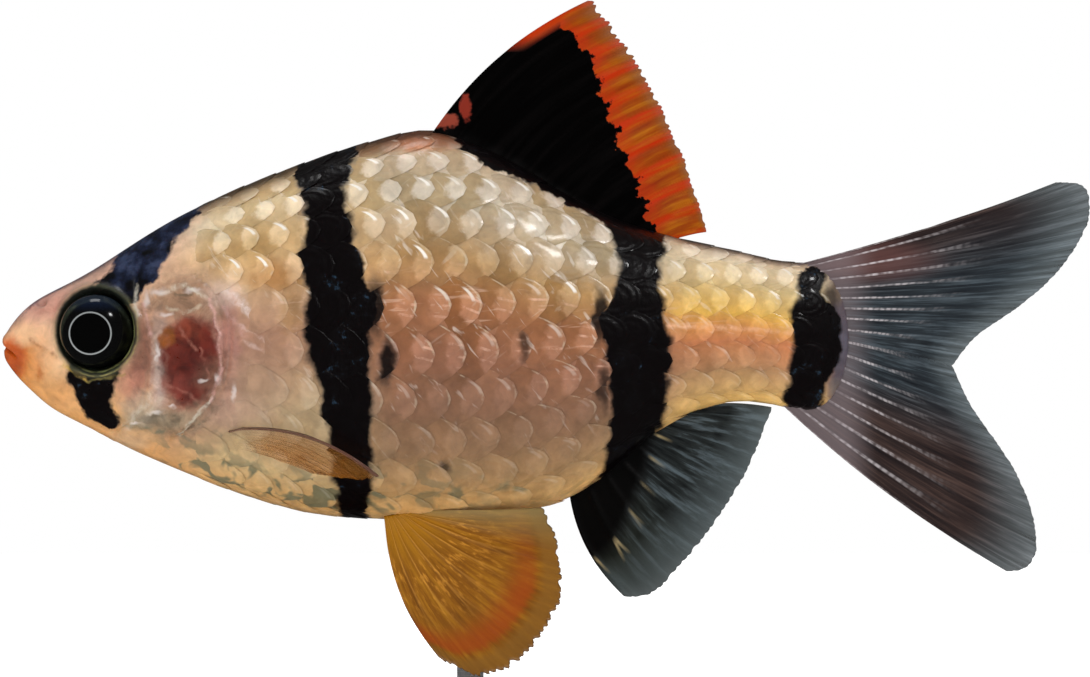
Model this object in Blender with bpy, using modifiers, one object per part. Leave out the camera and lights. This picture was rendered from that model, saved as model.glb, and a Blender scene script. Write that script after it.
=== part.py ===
"""Tiger barb, a still life-size model on a plain display stand.

The snout points to -X and the fish's left side to -Y. The origin is on the floor,
under the middle of the fish's length. Sizes are in millimetres in the fish's own
drawing frame, measured back (x) and up (z) from the tip of the snout. placed() turns
them to metres in the world.
"""

import math

import bmesh
import bpy
from mathutils import Matrix, Vector

MM = 0.001
GAP = 0.3

# Driving sizes of the fish. The lips reach a little ahead of the snout.
TOTAL_LENGTH = 65.24
LIP_REACH = 0.14
BODY_LENGTH = 50.7
SNOUT_HEIGHT = 27.0
SNOUT_X = LIP_REACH - TOTAL_LENGTH / 2

# Outlines of the body seen from the side: distance back from the snout, height.
BACK_LINE = ((0.0, 0.0), (0.42, 1.08), (1.6, 2.36), (5.2, 4.36), (11.2, 8.0), (17.2, 10.52),
             (22.0, 12.1), (25.6, 12.75), (29.8, 11.35), (33.6, 9.1), (36.6, 7.6), (40.0, 6.5),
             (44.2, 5.5), (47.0, 4.9), (50.7, 4.9))
BELLY_LINE = ((0.0, 0.0), (0.38, -1.5), (1.6, -2.95), (2.9, -4.05), (5.2, -5.28), (8.8, -7.05),
              (17.2, -10.05), (22.0, -10.65), (27.0, -10.5), (31.6, -10.1), (34.0, -9.4), (36.4, -7.8),
              (39.2, -5.4), (41.6, -4.2), (44.4, -3.6), (47.4, -4.05), (50.7, -4.6))
# Half the width, seen from above.
HALF_WIDTH = ((0.0, 0.0), (0.42, 0.95), (1.6, 1.6), (3.4, 2.5), (6.0, 3.35), (9.5, 4.1),
              (14.0, 4.7), (19.0, 5.0), (25.0, 4.95), (31.0, 4.3), (37.0, 3.2), (43.0, 2.15),
              (47.4, 1.45), (50.7, 0.7))
# The body's section: an oval fuller than an ellipse, whose upper half sharpens to a ridge
# and whose widest level sinks a little, both in full from TRUNK_START back.
TRUNK_START = 20.0
SECTION_POWER = 0.88
RIDGE_SHARPENING = 0.3
WIDEST_SINK = 0.04
# The end of the flesh, where the tail fin is rooted, is rounded seen from the side.
TAIL_ROUND_START = 48.0
TAIL_END_LEVEL = 0.3
# Far enough ahead, behind, above, below and beside the body for a block that cuts it.
CLEAR_AHEAD = -2.0
CLEAR_BEHIND = 60.0
CLEAR_HEIGHT = 14.0
CLEAR_SIDE = 9.0

# The curve of the gill opening, which parts the head from the trunk.
GILL_CENTRE = (8.8, 0.6)
GILL_BULGE = 4.7
GILL_RISE = 9.4
GILL_DROP = 6.9

EYE_CENTRE = (5.6, 0.65)
EYE_RADIUS = 2.2
EYE_DEPTH = 1.35
EYE_SINK = 0.75

BASE_LENGTH = 42.0
BASE_WIDTH = 25.0
BASE_THICKNESS = 3.6
ROD_RADIUS = 0.8
ROD_X = 28.0
ROD_SINK = 3.0
ROD_SOCKET = 2.5
ROD_SIDES = 16


def placed(x, y, z):
    """A point of the drawing frame, in metres in the world."""
    return Vector((SNOUT_X + x, y, SNOUT_HEIGHT + z)) * MM


def smooth_curve(knots, at, warp=1.0):
    """A smooth line through the knots (Catmull-Rom), read at one place. With warp 0.5 a
    line may start straight up, as a blunt snout does."""
    places = [k[0] ** warp for k in knots]
    heights = [k[1] for k in knots]
    t = min(max(at, knots[0][0]), knots[-1][0]) ** warp
    i = max(j for j in range(len(knots) - 1) if places[j] <= t or j == 0)
    step = places[i + 1] - places[i]

    def slope(j):
        low, high = max(j - 1, 0), min(j + 1, len(knots) - 1)
        return (heights[high] - heights[low]) / (places[high] - places[low])

    f = (t - places[i]) / step
    a, b = slope(i) * step, slope(i + 1) * step
    rise = heights[i + 1] - heights[i]
    return heights[i] + f * (a + f * (3 * rise - 2 * a - b + f * (a + b - 2 * rise)))


def back(x):
    return smooth_curve(BACK_LINE, x, 0.5)


def belly(x):
    return smooth_curve(BELLY_LINE, x, 0.5)


def half_width(x):
    return smooth_curve(HALF_WIDTH, x, 0.5)


def trunk_share(x):
    return min(x / TRUNK_START, 1.0)


def widest_level(x, top, bottom):
    """The height at which the body is widest."""
    return bottom + (top - bottom) * (0.5 - WIDEST_SINK * trunk_share(x))


def section_power(x, above):
    """How the section rounds in from its widest level, above or below it."""
    return SECTION_POWER + (RIDGE_SHARPENING * trunk_share(x) if above else 0.0)


def body_point(x, turn, grow=0.0):
    """The body's surface at distance x and at an angle round from the back ridge. The
    back is a narrower ridge than the belly, and the tail end is rounded."""
    top, bottom, wide = back(x) + grow, belly(x) - grow, half_width(x) + grow
    if x > TAIL_ROUND_START:
        along = min((x - TAIL_ROUND_START) / (BODY_LENGTH - TAIL_ROUND_START), 1.0)
        rounding = math.sqrt(max(1 - along ** 2, 0.0))
        top = TAIL_END_LEVEL + (top - TAIL_END_LEVEL) * rounding
        bottom = TAIL_END_LEVEL + (bottom - TAIL_END_LEVEL) * rounding
        wide *= rounding ** 0.5
    widest = widest_level(x, top, bottom)
    up, out = math.cos(turn), math.sin(turn)
    y = math.copysign(abs(out) ** section_power(x, up > 0), out) * wide
    z = widest + up * ((top - widest) if up > 0 else (widest - bottom))
    return x, y, z


def gill_line(z):
    """How far back the gill opening lies at this height."""
    rise = z - GILL_CENTRE[1]
    share = rise / (GILL_RISE if rise > 0 else GILL_DROP)
    return GILL_CENTRE[0] + GILL_BULGE * math.sqrt(max(1 - share * share, 0.0))


def material(name, colour, roughness, metallic=0.0):
    made = bpy.data.materials.new(name)
    made.use_nodes = True
    shader = made.node_tree.nodes["Principled BSDF"]
    shader.inputs["Base Color"].default_value = (*colour, 1.0)
    shader.inputs["Roughness"].default_value = roughness
    shader.inputs["Metallic"].default_value = metallic
    made.diffuse_color = (*colour, 1.0)
    return made


def object_from(bm, name):
    """A bmesh as a named object in the fish's collection."""
    mesh = bpy.data.meshes.new(name)
    bm.to_mesh(mesh)
    bm.free()
    made = bpy.data.objects.new(name, mesh)
    PARTS.objects.link(made)
    return made


def finished(node, finish, angle=35):
    """Gives a node its own material alone, and smooth shading between its sharp edges."""
    node.data.materials.clear()
    node.data.materials.append(finish)
    node.data.shade_smooth()
    node.data.set_sharp_from_angle(angle=math.radians(angle))


def combined(node, others, operation):
    """One applied Boolean of the node with a list of closed mesh objects, which are
    then removed."""
    tools = bpy.data.collections.new("tools")
    bpy.context.scene.collection.children.link(tools)
    for other in others:
        PARTS.objects.unlink(other)
        tools.objects.link(other)
    modifier = node.modifiers.new(operation.lower(), "BOOLEAN")
    modifier.operation = operation
    modifier.operand_type = "COLLECTION"
    modifier.collection = tools
    modifier.solver = "MANIFOLD"
    graph = bpy.context.evaluated_depsgraph_get()
    graph.update()
    result = bpy.data.meshes.new_from_object(node.evaluated_get(graph))
    node.modifiers.clear()
    node.data = result
    for other in others:
        bpy.data.objects.remove(other)
    bpy.data.collections.remove(tools)
    keep_largest(node)
    return node


def keep_largest(node):
    """Drops any loose scrap that a cut leaves, so that the node is one closed body."""
    bm = bmesh.new()
    bm.from_mesh(node.data)
    unseen = set(bm.verts)
    islands = []
    while unseen:
        island, edge = set(), [unseen.pop()]
        while edge:
            vert = edge.pop()
            island.add(vert)
            for link in vert.link_edges:
                other = link.other_vert(vert)
                if other in unseen:
                    unseen.discard(other)
                    edge.append(other)
        islands.append(island)
    islands.sort(key=len, reverse=True)
    scraps = [vert for island in islands[1:] for vert in island]
    bmesh.ops.delete(bm, geom=scraps, context="VERTS")
    bm.to_mesh(node.data)
    bm.free()


def body_form(name, around, along, grow=0.0):
    """The whole body as one closed surface: a sphere whose poles become the snout and
    the tail end, with its rings closer together towards both."""
    bm = bmesh.new()
    bmesh.ops.create_uvsphere(bm, u_segments=around, v_segments=along, radius=1.0)
    for vert in bm.verts:
        share = math.acos(max(-1.0, min(1.0, vert.co.z))) / math.pi
        turn = math.atan2(vert.co.y, vert.co.x)
        along = (1 - math.cos(math.pi * share)) / 2
        x, y, z = body_point(-grow + (BODY_LENGTH + 2 * grow) * along, turn, grow)
        if share < 1e-4:
            x, y, z = -grow, 0.0, 0.0
        if share > 1 - 1e-4:
            x, y, z = BODY_LENGTH + grow, 0.0, TAIL_END_LEVEL
        vert.co = placed(x, y, z)
    bmesh.ops.recalc_face_normals(bm, faces=bm.faces)
    return object_from(bm, name)


def side_block(name, outline, low=-CLEAR_SIDE, high=CLEAR_SIDE):
    """A closed block with this outline seen from the side, running across the fish."""
    bm = bmesh.new()
    corners = [bm.verts.new(placed(x, low, z)) for x, z in outline]
    face = bm.faces.new(corners)
    pulled = bmesh.ops.extrude_face_region(bm, geom=[face])
    moved = [part for part in pulled["geom"] if isinstance(part, bmesh.types.BMVert)]
    bmesh.ops.translate(bm, verts=moved, vec=Vector((0, (high - low) * MM, 0)))
    bmesh.ops.triangulate(bm, faces=[f for f in bm.faces if len(f.verts) > 4])
    bmesh.ops.recalc_face_normals(bm, faces=bm.faces)
    return object_from(bm, name)


def ellipsoid(name, centre, radii, around, along):
    bm = bmesh.new()
    bmesh.ops.create_uvsphere(bm, u_segments=around, v_segments=along, radius=MM)
    bmesh.ops.rotate(bm, verts=bm.verts, matrix=Matrix.Rotation(math.pi / 2, 3, "X"))
    bmesh.ops.scale(bm, verts=bm.verts, vec=Vector(radii))
    bmesh.ops.translate(bm, verts=bm.verts, vec=placed(*centre))
    return object_from(bm, name)


def head_block(gap=0.0):
    """Everything in front of the gill opening, or of the gap behind it."""
    steps = 34
    levels = [CLEAR_HEIGHT * (2 * i / steps - 1) for i in range(steps + 1)]
    rear = [(gill_line(z) + gap, z) for z in levels]
    return side_block("head_block", [(CLEAR_AHEAD, -CLEAR_HEIGHT), *rear, (CLEAR_AHEAD, CLEAR_HEIGHT)])


COVER_TOP, COVER_FOOT = 3.9, -5.5
COVER_FRONT = 8.5
COVER_ROUNDING = 3.0
COVER_THICKNESS = 0.7
COVER_RAISED = 0.15
# The gill covers stop short of the fish's middle, and are formed on a body this fine.
COVER_INNER = 0.4
COVER_AROUND = 28
COVER_ALONG = 44


def cover_block(side, gap=0.0):
    """The gill cover's outline: its rear edge is the gill opening, and its front edge a
    bow behind the cheek, rounded into the rear edge above and below."""
    steps = 18
    middle, half = (COVER_TOP + COVER_FOOT) / 2, (COVER_TOP - COVER_FOOT) / 2 + gap
    levels = [middle - half * math.cos(math.pi * i / steps) for i in range(steps + 1)]
    behind = 1.0 if gap else 0.0
    rear = [(gill_line(z) + behind, z) for z in levels]
    front = []
    for z in reversed(levels[1:-1]):
        share = abs(z - middle) / half
        rounding = 1 - (1 - share ** COVER_ROUNDING) ** (1 / COVER_ROUNDING)
        foremost = COVER_FRONT - gap
        front.append((foremost + (gill_line(z) + behind - foremost) * rounding, z))
    low, high = (COVER_INNER, CLEAR_SIDE) if side > 0 else (-CLEAR_SIDE, -COVER_INNER)
    return side_block("cover_block", rear + front, low, high)


def gill_cover(name, side, finish):
    """A thin raised plate over the gills, in a shallow seat in the head's side."""
    node = body_form(name, COVER_AROUND, COVER_ALONG, COVER_RAISED)
    combined(node, [cover_block(side)], "INTERSECT")
    under = body_form("under_cover", COVER_AROUND, COVER_ALONG, COVER_RAISED - COVER_THICKNESS)
    combined(node, [under], "DIFFERENCE")
    finished(node, finish)
    return node


def cover_seat(side):
    """What is cut from the head's side under a gill cover, with the gap."""
    seat = cover_block(side, GAP)
    depth = COVER_RAISED - COVER_THICKNESS - GAP
    floor = body_form("seat_floor", COVER_AROUND, COVER_ALONG, depth)
    return combined(seat, [floor], "DIFFERENCE")


MOUTH_LEVEL = -0.3
MOUTH_SLOPE = 0.75
MOUTH_CORNER = 1.45
LIP_RADIUS = 0.34
LIP_SETBACK = 0.2
LIP_THINNING = 0.5
UPPER_LIP_WIDTH = 1.15
LOWER_LIP_WIDTH = 1.0
LIP_WRAP = math.radians(112)


def lip(name, rise, width):
    """A rounded lip: a tube bent round the front of the mouth and thinning towards the
    corners, where it sinks into the cheeks."""
    path = bpy.data.curves.new(name, "CURVE")
    path.dimensions = "3D"
    path.bevel_depth = LIP_RADIUS * MM
    path.bevel_resolution = 2
    path.use_fill_caps = True
    line = path.splines.new("POLY")
    steps = 16
    line.points.add(steps)
    depth = MOUTH_CORNER / (1 - math.cos(LIP_WRAP))
    for i in range(steps + 1):
        turn = LIP_WRAP * (2 * i / steps - 1)
        x = LIP_SETBACK + depth * (1 - math.cos(turn))
        z = MOUTH_LEVEL + rise - MOUTH_SLOPE * x
        line.points[i].co = (*placed(x, width * math.sin(turn), z), 1.0)
        line.points[i].radius = 1 - LIP_THINNING * (turn / LIP_WRAP) ** 4
    tube = bpy.data.objects.new(name, path)
    PARTS.objects.link(tube)
    bpy.context.view_layer.update()
    graph = bpy.context.evaluated_depsgraph_get()
    mesh = bpy.data.meshes.new_from_object(tube.evaluated_get(graph))
    bpy.data.objects.remove(tube)
    bm = bmesh.new()
    bm.from_mesh(mesh)
    bmesh.ops.remove_doubles(bm, verts=bm.verts, dist=1e-6)
    bmesh.ops.recalc_face_normals(bm, faces=bm.faces)
    return object_from(bm, name)


SLIT_HALF = 0.15


def mouth_slit():
    """The line of the mouth, cut back between the lips and sloping down."""
    front, rear = -1.0, MOUTH_CORNER + 0.1
    outer, inner = MOUTH_LEVEL - MOUTH_SLOPE * front, MOUTH_LEVEL - MOUTH_SLOPE * rear
    return side_block("mouth_slit", [(front, outer + SLIT_HALF), (front, outer - SLIT_HALF),
                                     (rear, inner - SLIT_HALF / 2), (rear, inner + SLIT_HALF / 2)])


NOSTRIL = (2.3, 1.0, 2.42)
NOSTRIL_RADII = (0.3, 0.34, 0.3)
NOSTRIL_LID = (1.85, 0.92, 2.16)
NOSTRIL_LID_RADII = (0.24, 0.4, 0.3)
HEAD_AROUND = 36
HEAD_ALONG = 56


def eye_centre(side):
    """An eye is sunk in the head's side by EYE_SINK."""
    x, z = EYE_CENTRE
    return x, side * (half_width(x) - EYE_SINK), z


def build_head(finish):
    """Head with lips, mouth line, nostrils and their lids, eye sockets and seats for the
    gill covers."""
    head = body_form("head", HEAD_AROUND, HEAD_ALONG)
    apart = LIP_RADIUS + SLIT_HALF
    raised = [lip("upper_lip", apart, UPPER_LIP_WIDTH), lip("lower_lip", -apart, LOWER_LIP_WIDTH)]
    for side in (-1, 1):
        x, y, z = NOSTRIL_LID
        raised.append(ellipsoid("nostril_lid", (x, side * y, z), NOSTRIL_LID_RADII, 12, 8))
    combined(head, raised, "UNION")
    combined(head, [head_block()], "INTERSECT")
    cutters = [mouth_slit()]
    for side in (-1, 1):
        grown = (EYE_RADIUS + GAP, EYE_DEPTH + GAP, EYE_RADIUS + GAP)
        cutters.append(ellipsoid("socket", eye_centre(side), grown, 28, 16))
        x, y, z = NOSTRIL
        cutters.append(ellipsoid("nostril", (x, side * y, z), NOSTRIL_RADII, 12, 8))
        cutters.append(cover_seat(side))
    combined(head, cutters, "DIFFERENCE")
    finished(head, finish)
    return head


def build_eye(name, side, finish):
    eye = ellipsoid(name, eye_centre(side), (EYE_RADIUS, EYE_DEPTH, EYE_RADIUS), 24, 12)
    finished(eye, finish)
    return eye


STALK_START = 41.0
BODY_AROUND = 32
BODY_ALONG = 56


def upright(name, radius, low, high):
    """A closed round bar on the rod's line, between two heights above the floor."""
    bm = bmesh.new()
    bmesh.ops.create_cone(bm, cap_ends=True, segments=ROD_SIDES, radius1=radius * MM,
                          radius2=radius * MM, depth=(high - low) * MM)
    middle = placed(ROD_X, 0, 0)
    bmesh.ops.translate(bm, verts=bm.verts, vec=Vector((middle.x, 0, (low + high) / 2 * MM)))
    return object_from(bm, name)


def stalk_block(start):
    """Everything behind this distance from the snout."""
    return side_block("stalk_block", [(start, -CLEAR_HEIGHT), (CLEAR_BEHIND, -CLEAR_HEIGHT),
                                      (CLEAR_BEHIND, CLEAR_HEIGHT), (start, CLEAR_HEIGHT)])


def build_trunk(finish):
    """From the gill opening to the start of the tail stalk, drilled for the rod."""
    trunk = body_form("trunk", BODY_AROUND, BODY_ALONG)
    top = SNOUT_HEIGHT + belly(ROD_X) + ROD_SINK + GAP
    hole = upright("rod_hole", ROD_RADIUS + GAP, SNOUT_HEIGHT - CLEAR_HEIGHT, top)
    combined(trunk, [head_block(GAP), stalk_block(STALK_START), hole], "DIFFERENCE")
    finished(trunk, finish)
    return trunk


def build_tail_stalk(finish):
    stalk = body_form("tail_stalk", BODY_AROUND, BODY_ALONG)
    combined(stalk, [stalk_block(STALK_START + GAP)], "INTERSECT")
    finished(stalk, finish)
    return stalk


MEMBRANE = 0.5
RAY = 0.78
FOOT_SHARE = 0.3
TIP_THINNING = 0.35


def bent(start, end, bow, v):
    """A point along a ray from its root to its tip, bowed to one side."""
    a, b = Vector(start), Vector(end)
    across = Vector((-(b - a).y, (b - a).x)).normalized()
    middle = (a + b) / 2 + across * 2 * bow
    return a * (1 - v) ** 2 + middle * 2 * v * (1 - v) + b * v ** 2


def along_line(knots, u):
    """A point at share u of the way along a line of knots, smoothed through them."""
    spans = [0.0]
    for a, b in zip(knots, knots[1:]):
        spans.append(spans[-1] + math.dist(a, b))
    at = u * spans[-1]
    xs = smooth_curve(tuple((s, k[0]) for s, k in zip(spans, knots)), at)
    zs = smooth_curve(tuple((s, k[1]) for s, k in zip(spans, knots)), at)
    return xs, zs


def build_fin(name, finish, root, margin, bows, rays, rows, lift=None, scallop=0.015):
    """A fin: rays from a root line to a margin, as ridges raised in one membrane that
    thins over its outer half. root and margin are lines of (back, up) points, bows how
    far the first and last ray bend, and lift gives a point's place across the fish."""
    bm = bmesh.new()
    columns = rays * 3 - 1
    bmesh.ops.create_grid(bm, x_segments=columns, y_segments=rows, size=1.0)
    weights = []
    foot = FOOT_SHARE / (rays - 1)
    bm.verts.index_update()
    for vert in bm.verts:
        column = round((vert.co.x + 1) / 2 * columns)
        v = (vert.co.y + 1) / 2
        ray, place = divmod(column, 3)
        u = foot + (1 - 2 * foot) * ray / (rays - 1) + foot * (place - 1)
        crest = place == 1
        reach = v * (1 - (0 if crest else scallop * v))
        start, end = along_line(root, u), along_line(margin, u)
        x, z = bent(start, end, bows[0] + (bows[1] - bows[0]) * u, reach)
        y = lift(x, z, u, reach) if lift else 0.0
        vert.co = placed(x, y, z)
        taper = 1 - TIP_THINNING * max(2 * v - 1, 0)
        weights.append((RAY if crest else MEMBRANE) * taper / RAY)
    bmesh.ops.triangulate(bm, faces=bm.faces, quad_method="FIXED")
    bmesh.ops.recalc_face_normals(bm, faces=bm.faces)
    fin = object_from(bm, name)
    group = fin.vertex_groups.new(name="thickness")
    for index, weight in enumerate(weights):
        group.add([index], weight, "REPLACE")
    shell = fin.modifiers.new("thickness", "SOLIDIFY")
    shell.thickness = RAY * MM
    shell.offset = 0.0
    shell.vertex_group = group.name
    finished(fin, finish, 50)
    return fin


# Between its columns a fin's root is straight and the body bows, so it stands off a
# little more than the gap.
FIN_SEAT = GAP + 0.02

DORSAL_BASE = (25.4, 39.6)
DORSAL_MARGIN = ((35.3, 20.6), (37.2, 18.1), (39.1, 14.9), (40.6, 11.5), (41.6, 8.6), (42.2, 6.62))
DORSAL_BOWS = (1.0, 0.1)


def build_dorsal_fin(finish):
    first, last = DORSAL_BASE
    steps = 8
    root = []
    for i in range(steps + 1):
        x = first + (last - first) * i / steps
        root.append((x, back(x) + FIN_SEAT))
    return build_fin("dorsal_fin", finish, root, DORSAL_MARGIN, DORSAL_BOWS, rays=11, rows=8)


ANAL_BASE = (33.9, 43.6)
ANAL_MARGIN = ((37.3, -15.3), (38.9, -15.1), (41.3, -12.6), (43.7, -9.3), (45.2, -6.4), (46.1, -4.2))
ANAL_BOWS = (-0.7, -0.1)


def build_anal_fin(finish):
    first, last = ANAL_BASE
    steps = 6
    root = []
    for i in range(steps + 1):
        x = first + (last - first) * i / steps
        root.append((x, belly(x) - FIN_SEAT))
    return build_fin("anal_fin", finish, root, ANAL_MARGIN, ANAL_BOWS, rays=8, rows=6)


UPPER_LOBE_MARGIN = ((63.2, 9.6), (64.7, 9.45), (65.2, 8.5), (65.0, 7.0), (63.4, 4.4), (61.0, 2.2),
                     (58.4, 0.4), (56.9, -1.24))
UPPER_LOBE_BOWS = (-0.3, 0.0)
LOWER_LOBE_MARGIN = ((56.9, -1.56), (58.1, -3.9), (60.5, -7.4), (61.7, -10.2), (61.95, -12.4),
                     (61.4, -13.5), (60.2, -13.75))
LOWER_LOBE_BOWS = (0.0, -0.5)
FORK_SHARE = 0.02


def tail_end(share):
    """The rounded end of the flesh, from its upper corner (1) to its lower one (-1),
    set off by the gap."""
    turn = share * math.pi / 2
    top, bottom = back(TAIL_ROUND_START), belly(TAIL_ROUND_START)
    high = (top - TAIL_END_LEVEL) if share > 0 else (TAIL_END_LEVEL - bottom)
    reach = BODY_LENGTH - TAIL_ROUND_START
    x = TAIL_ROUND_START + (reach + FIN_SEAT) * math.cos(turn)
    return x, TAIL_END_LEVEL + (high + FIN_SEAT) * math.sin(turn)


def build_caudal_lobe(name, finish, side):
    """The upper (1) or lower (-1) lobe of the forked tail fin, rooted round the end of the
    flesh. The two lie edge to edge from the root to the fork."""
    steps = 12
    shares = [1 - (1 - FORK_SHARE) * i / steps for i in range(steps + 1)]
    if side > 0:
        root = [tail_end(share) for share in shares]
        return build_fin(name, finish, root, UPPER_LOBE_MARGIN, UPPER_LOBE_BOWS, rays=10, rows=8)
    root = [tail_end(-share) for share in reversed(shares)]
    return build_fin(name, finish, root, LOWER_LOBE_MARGIN, LOWER_LOBE_BOWS, rays=9, rows=8)


PELVIC_ROOT = ((22.9, -11.0), (24.4, -10.9))
PELVIC_MARGIN = ((26.3, -19.0), (28.9, -20.0), (31.3, -18.7), (33.2, -16.0), (33.5, -13.4), (32.4, -10.3))
PELVIC_BOWS = (-0.85, -0.15)
PELVIC_SPREAD = 0.85
PELVIC_TOE = math.radians(11)
PELVIC_LEAN = math.radians(20)


def build_pelvic_fin(name, side, finish):
    """The paired fins of the belly, spread outwards so that the rod passes between."""
    def lift(x, z, u, v):
        out = (x - PELVIC_ROOT[0][0]) * math.tan(PELVIC_TOE)
        down = (PELVIC_ROOT[0][1] - z) * math.tan(PELVIC_LEAN)
        return side * (PELVIC_SPREAD + max(out, 0) + max(down, 0))
    return build_fin(name, finish, PELVIC_ROOT, PELVIC_MARGIN, PELVIC_BOWS, rays=9, rows=6, lift=lift)


PECTORAL_ROOT = ((13.7, -5.2), (14.2, -6.3))
PECTORAL_MARGIN = ((22.6, -8.0), (21.8, -8.2), (20.4, -8.1), (18.6, -7.8))
PECTORAL_BOWS = (1.0, 0.1)
PECTORAL_SPREAD = 1.7
PECTORAL_TILT = 0.6


def flank(x, z):
    """Half the body's width at this place on its side."""
    top, bottom = back(x), belly(x)
    widest = widest_level(x, top, bottom)
    rise = (z - widest) / ((top - widest) if z > widest else (widest - bottom))
    return half_width(x) * max(1 - rise * rise, 0.0) ** (section_power(x, z > widest) / 2)


def build_pectoral_fin(name, side, finish):
    """A paddle rooted behind the gill cover, swept back and standing off the flank."""
    def lift(x, z, u, v):
        off = flank(x, z) + GAP + RAY / 2 + PECTORAL_SPREAD * v * (1 - PECTORAL_TILT * u)
        return side * off
    return build_fin(name, finish, PECTORAL_ROOT, PECTORAL_MARGIN, PECTORAL_BOWS, rays=9, rows=6, lift=lift)


BASE_SIDES = 48
BASE_EDGE = 0.8


def build_stand_base(finish):
    """A flat oval foot with a softened edge and a socket for the rod."""
    bm = bmesh.new()
    bmesh.ops.create_cone(bm, cap_ends=True, segments=BASE_SIDES, radius1=MM, radius2=MM,
                          depth=BASE_THICKNESS * MM)
    bmesh.ops.scale(bm, verts=bm.verts, vec=Vector((BASE_LENGTH / 2, BASE_WIDTH / 2, 1.0)))
    centre = placed(ROD_X, 0, 0)
    bmesh.ops.translate(bm, verts=bm.verts, vec=Vector((centre.x, 0, BASE_THICKNESS / 2 * MM)))
    rim = [e for e in bm.edges if all(v.co.z > BASE_THICKNESS / 2 * MM for v in e.verts)]
    bmesh.ops.bevel(bm, geom=rim, offset=BASE_EDGE * MM, segments=2, affect="EDGES", profile=0.5)
    base = object_from(bm, "stand_base")
    floor = BASE_THICKNESS - ROD_SOCKET
    socket = upright("base_socket", ROD_RADIUS + GAP, floor, BASE_THICKNESS + ROD_SOCKET)
    combined(base, [socket], "DIFFERENCE")
    finished(base, finish)
    return base


def build_stand_rod(finish):
    """A straight rod from the base's socket into the belly."""
    low = BASE_THICKNESS - ROD_SOCKET + GAP
    high = SNOUT_HEIGHT + belly(ROD_X) + ROD_SINK
    rod = upright("stand_rod", ROD_RADIUS, low, high)
    finished(rod, finish)
    return rod


for old in list(bpy.data.objects):
    bpy.data.objects.remove(old)
PARTS = bpy.data.collections.new("tiger_barb")
bpy.context.scene.collection.children.link(PARTS)

build_head(material("head_skin", (0.80, 0.60, 0.42), 0.35))
build_trunk(material("trunk_skin", (0.72, 0.60, 0.44), 0.35))
build_tail_stalk(material("stalk_skin", (0.74, 0.58, 0.36), 0.35))
for word, side in (("left", -1), ("right", 1)):
    gill_cover(f"gill_cover_{word}", side, material(f"cover_{word}", (0.62, 0.40, 0.36), 0.25))
    build_eye(f"eye_{word}", side, material(f"eye_{word}", (0.02, 0.02, 0.02), 0.05))
    build_pelvic_fin(f"pelvic_fin_{word}", side, material(f"pelvic_{word}", (0.50, 0.24, 0.03), 0.4))
    build_pectoral_fin(f"pectoral_fin_{word}", side, material(f"pectoral_{word}", (0.75, 0.55, 0.35), 0.4))
build_dorsal_fin(material("dorsal_rays", (0.10, 0.02, 0.01), 0.4))
build_anal_fin(material("anal_rays", (0.08, 0.09, 0.09), 0.4))
build_caudal_lobe("caudal_fin_upper", material("caudal_upper", (0.13, 0.12, 0.14), 0.4), 1)
build_caudal_lobe("caudal_fin_lower", material("caudal_lower", (0.13, 0.12, 0.14), 0.4), -1)
build_stand_base(material("stand_base", (0.05, 0.045, 0.04), 0.3))
build_stand_rod(material("stand_rod", (0.70, 0.70, 0.72), 0.25, 1.0))
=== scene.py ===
import functools
import math
import random

import bmesh
import bpy
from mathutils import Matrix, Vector, noise


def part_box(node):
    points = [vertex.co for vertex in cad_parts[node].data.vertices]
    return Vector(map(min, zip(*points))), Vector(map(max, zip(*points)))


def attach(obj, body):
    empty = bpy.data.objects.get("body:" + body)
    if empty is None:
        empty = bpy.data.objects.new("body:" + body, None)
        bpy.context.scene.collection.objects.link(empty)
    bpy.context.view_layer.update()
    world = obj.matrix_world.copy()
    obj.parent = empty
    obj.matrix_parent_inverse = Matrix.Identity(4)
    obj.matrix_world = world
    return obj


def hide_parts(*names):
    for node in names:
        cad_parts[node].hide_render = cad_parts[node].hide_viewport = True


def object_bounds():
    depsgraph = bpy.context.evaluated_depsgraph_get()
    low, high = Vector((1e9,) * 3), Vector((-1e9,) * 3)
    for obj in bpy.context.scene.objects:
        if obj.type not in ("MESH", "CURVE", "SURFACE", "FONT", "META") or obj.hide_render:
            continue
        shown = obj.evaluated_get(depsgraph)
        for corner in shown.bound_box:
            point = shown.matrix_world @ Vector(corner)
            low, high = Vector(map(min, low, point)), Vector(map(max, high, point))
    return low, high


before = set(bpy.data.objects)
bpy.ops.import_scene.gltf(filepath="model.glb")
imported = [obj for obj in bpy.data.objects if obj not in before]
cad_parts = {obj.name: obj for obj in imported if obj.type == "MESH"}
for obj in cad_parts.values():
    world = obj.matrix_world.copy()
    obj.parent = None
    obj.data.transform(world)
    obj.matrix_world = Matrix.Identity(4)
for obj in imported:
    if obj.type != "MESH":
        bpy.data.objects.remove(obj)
solid_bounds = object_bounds()

# The body, from the lips to the root of the tail fin
# Flesh under one thin wet skin. Its form is two outlines seen from the side, the width
# seen from above, and an oval section that sharpens to a ridge along the back. Sizes are
# in millimetres back (x) and up (z) from the tip of the snout.

MM = 0.001
EYE_X, EYE_Z = 5.6, 0.65
eye_low, eye_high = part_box("eye_left")
SNOUT_X = (eye_low.x + eye_high.x) / 2 / MM - EYE_X
SNOUT_HEIGHT = (eye_low.z + eye_high.z) / 2 / MM - EYE_Z

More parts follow.
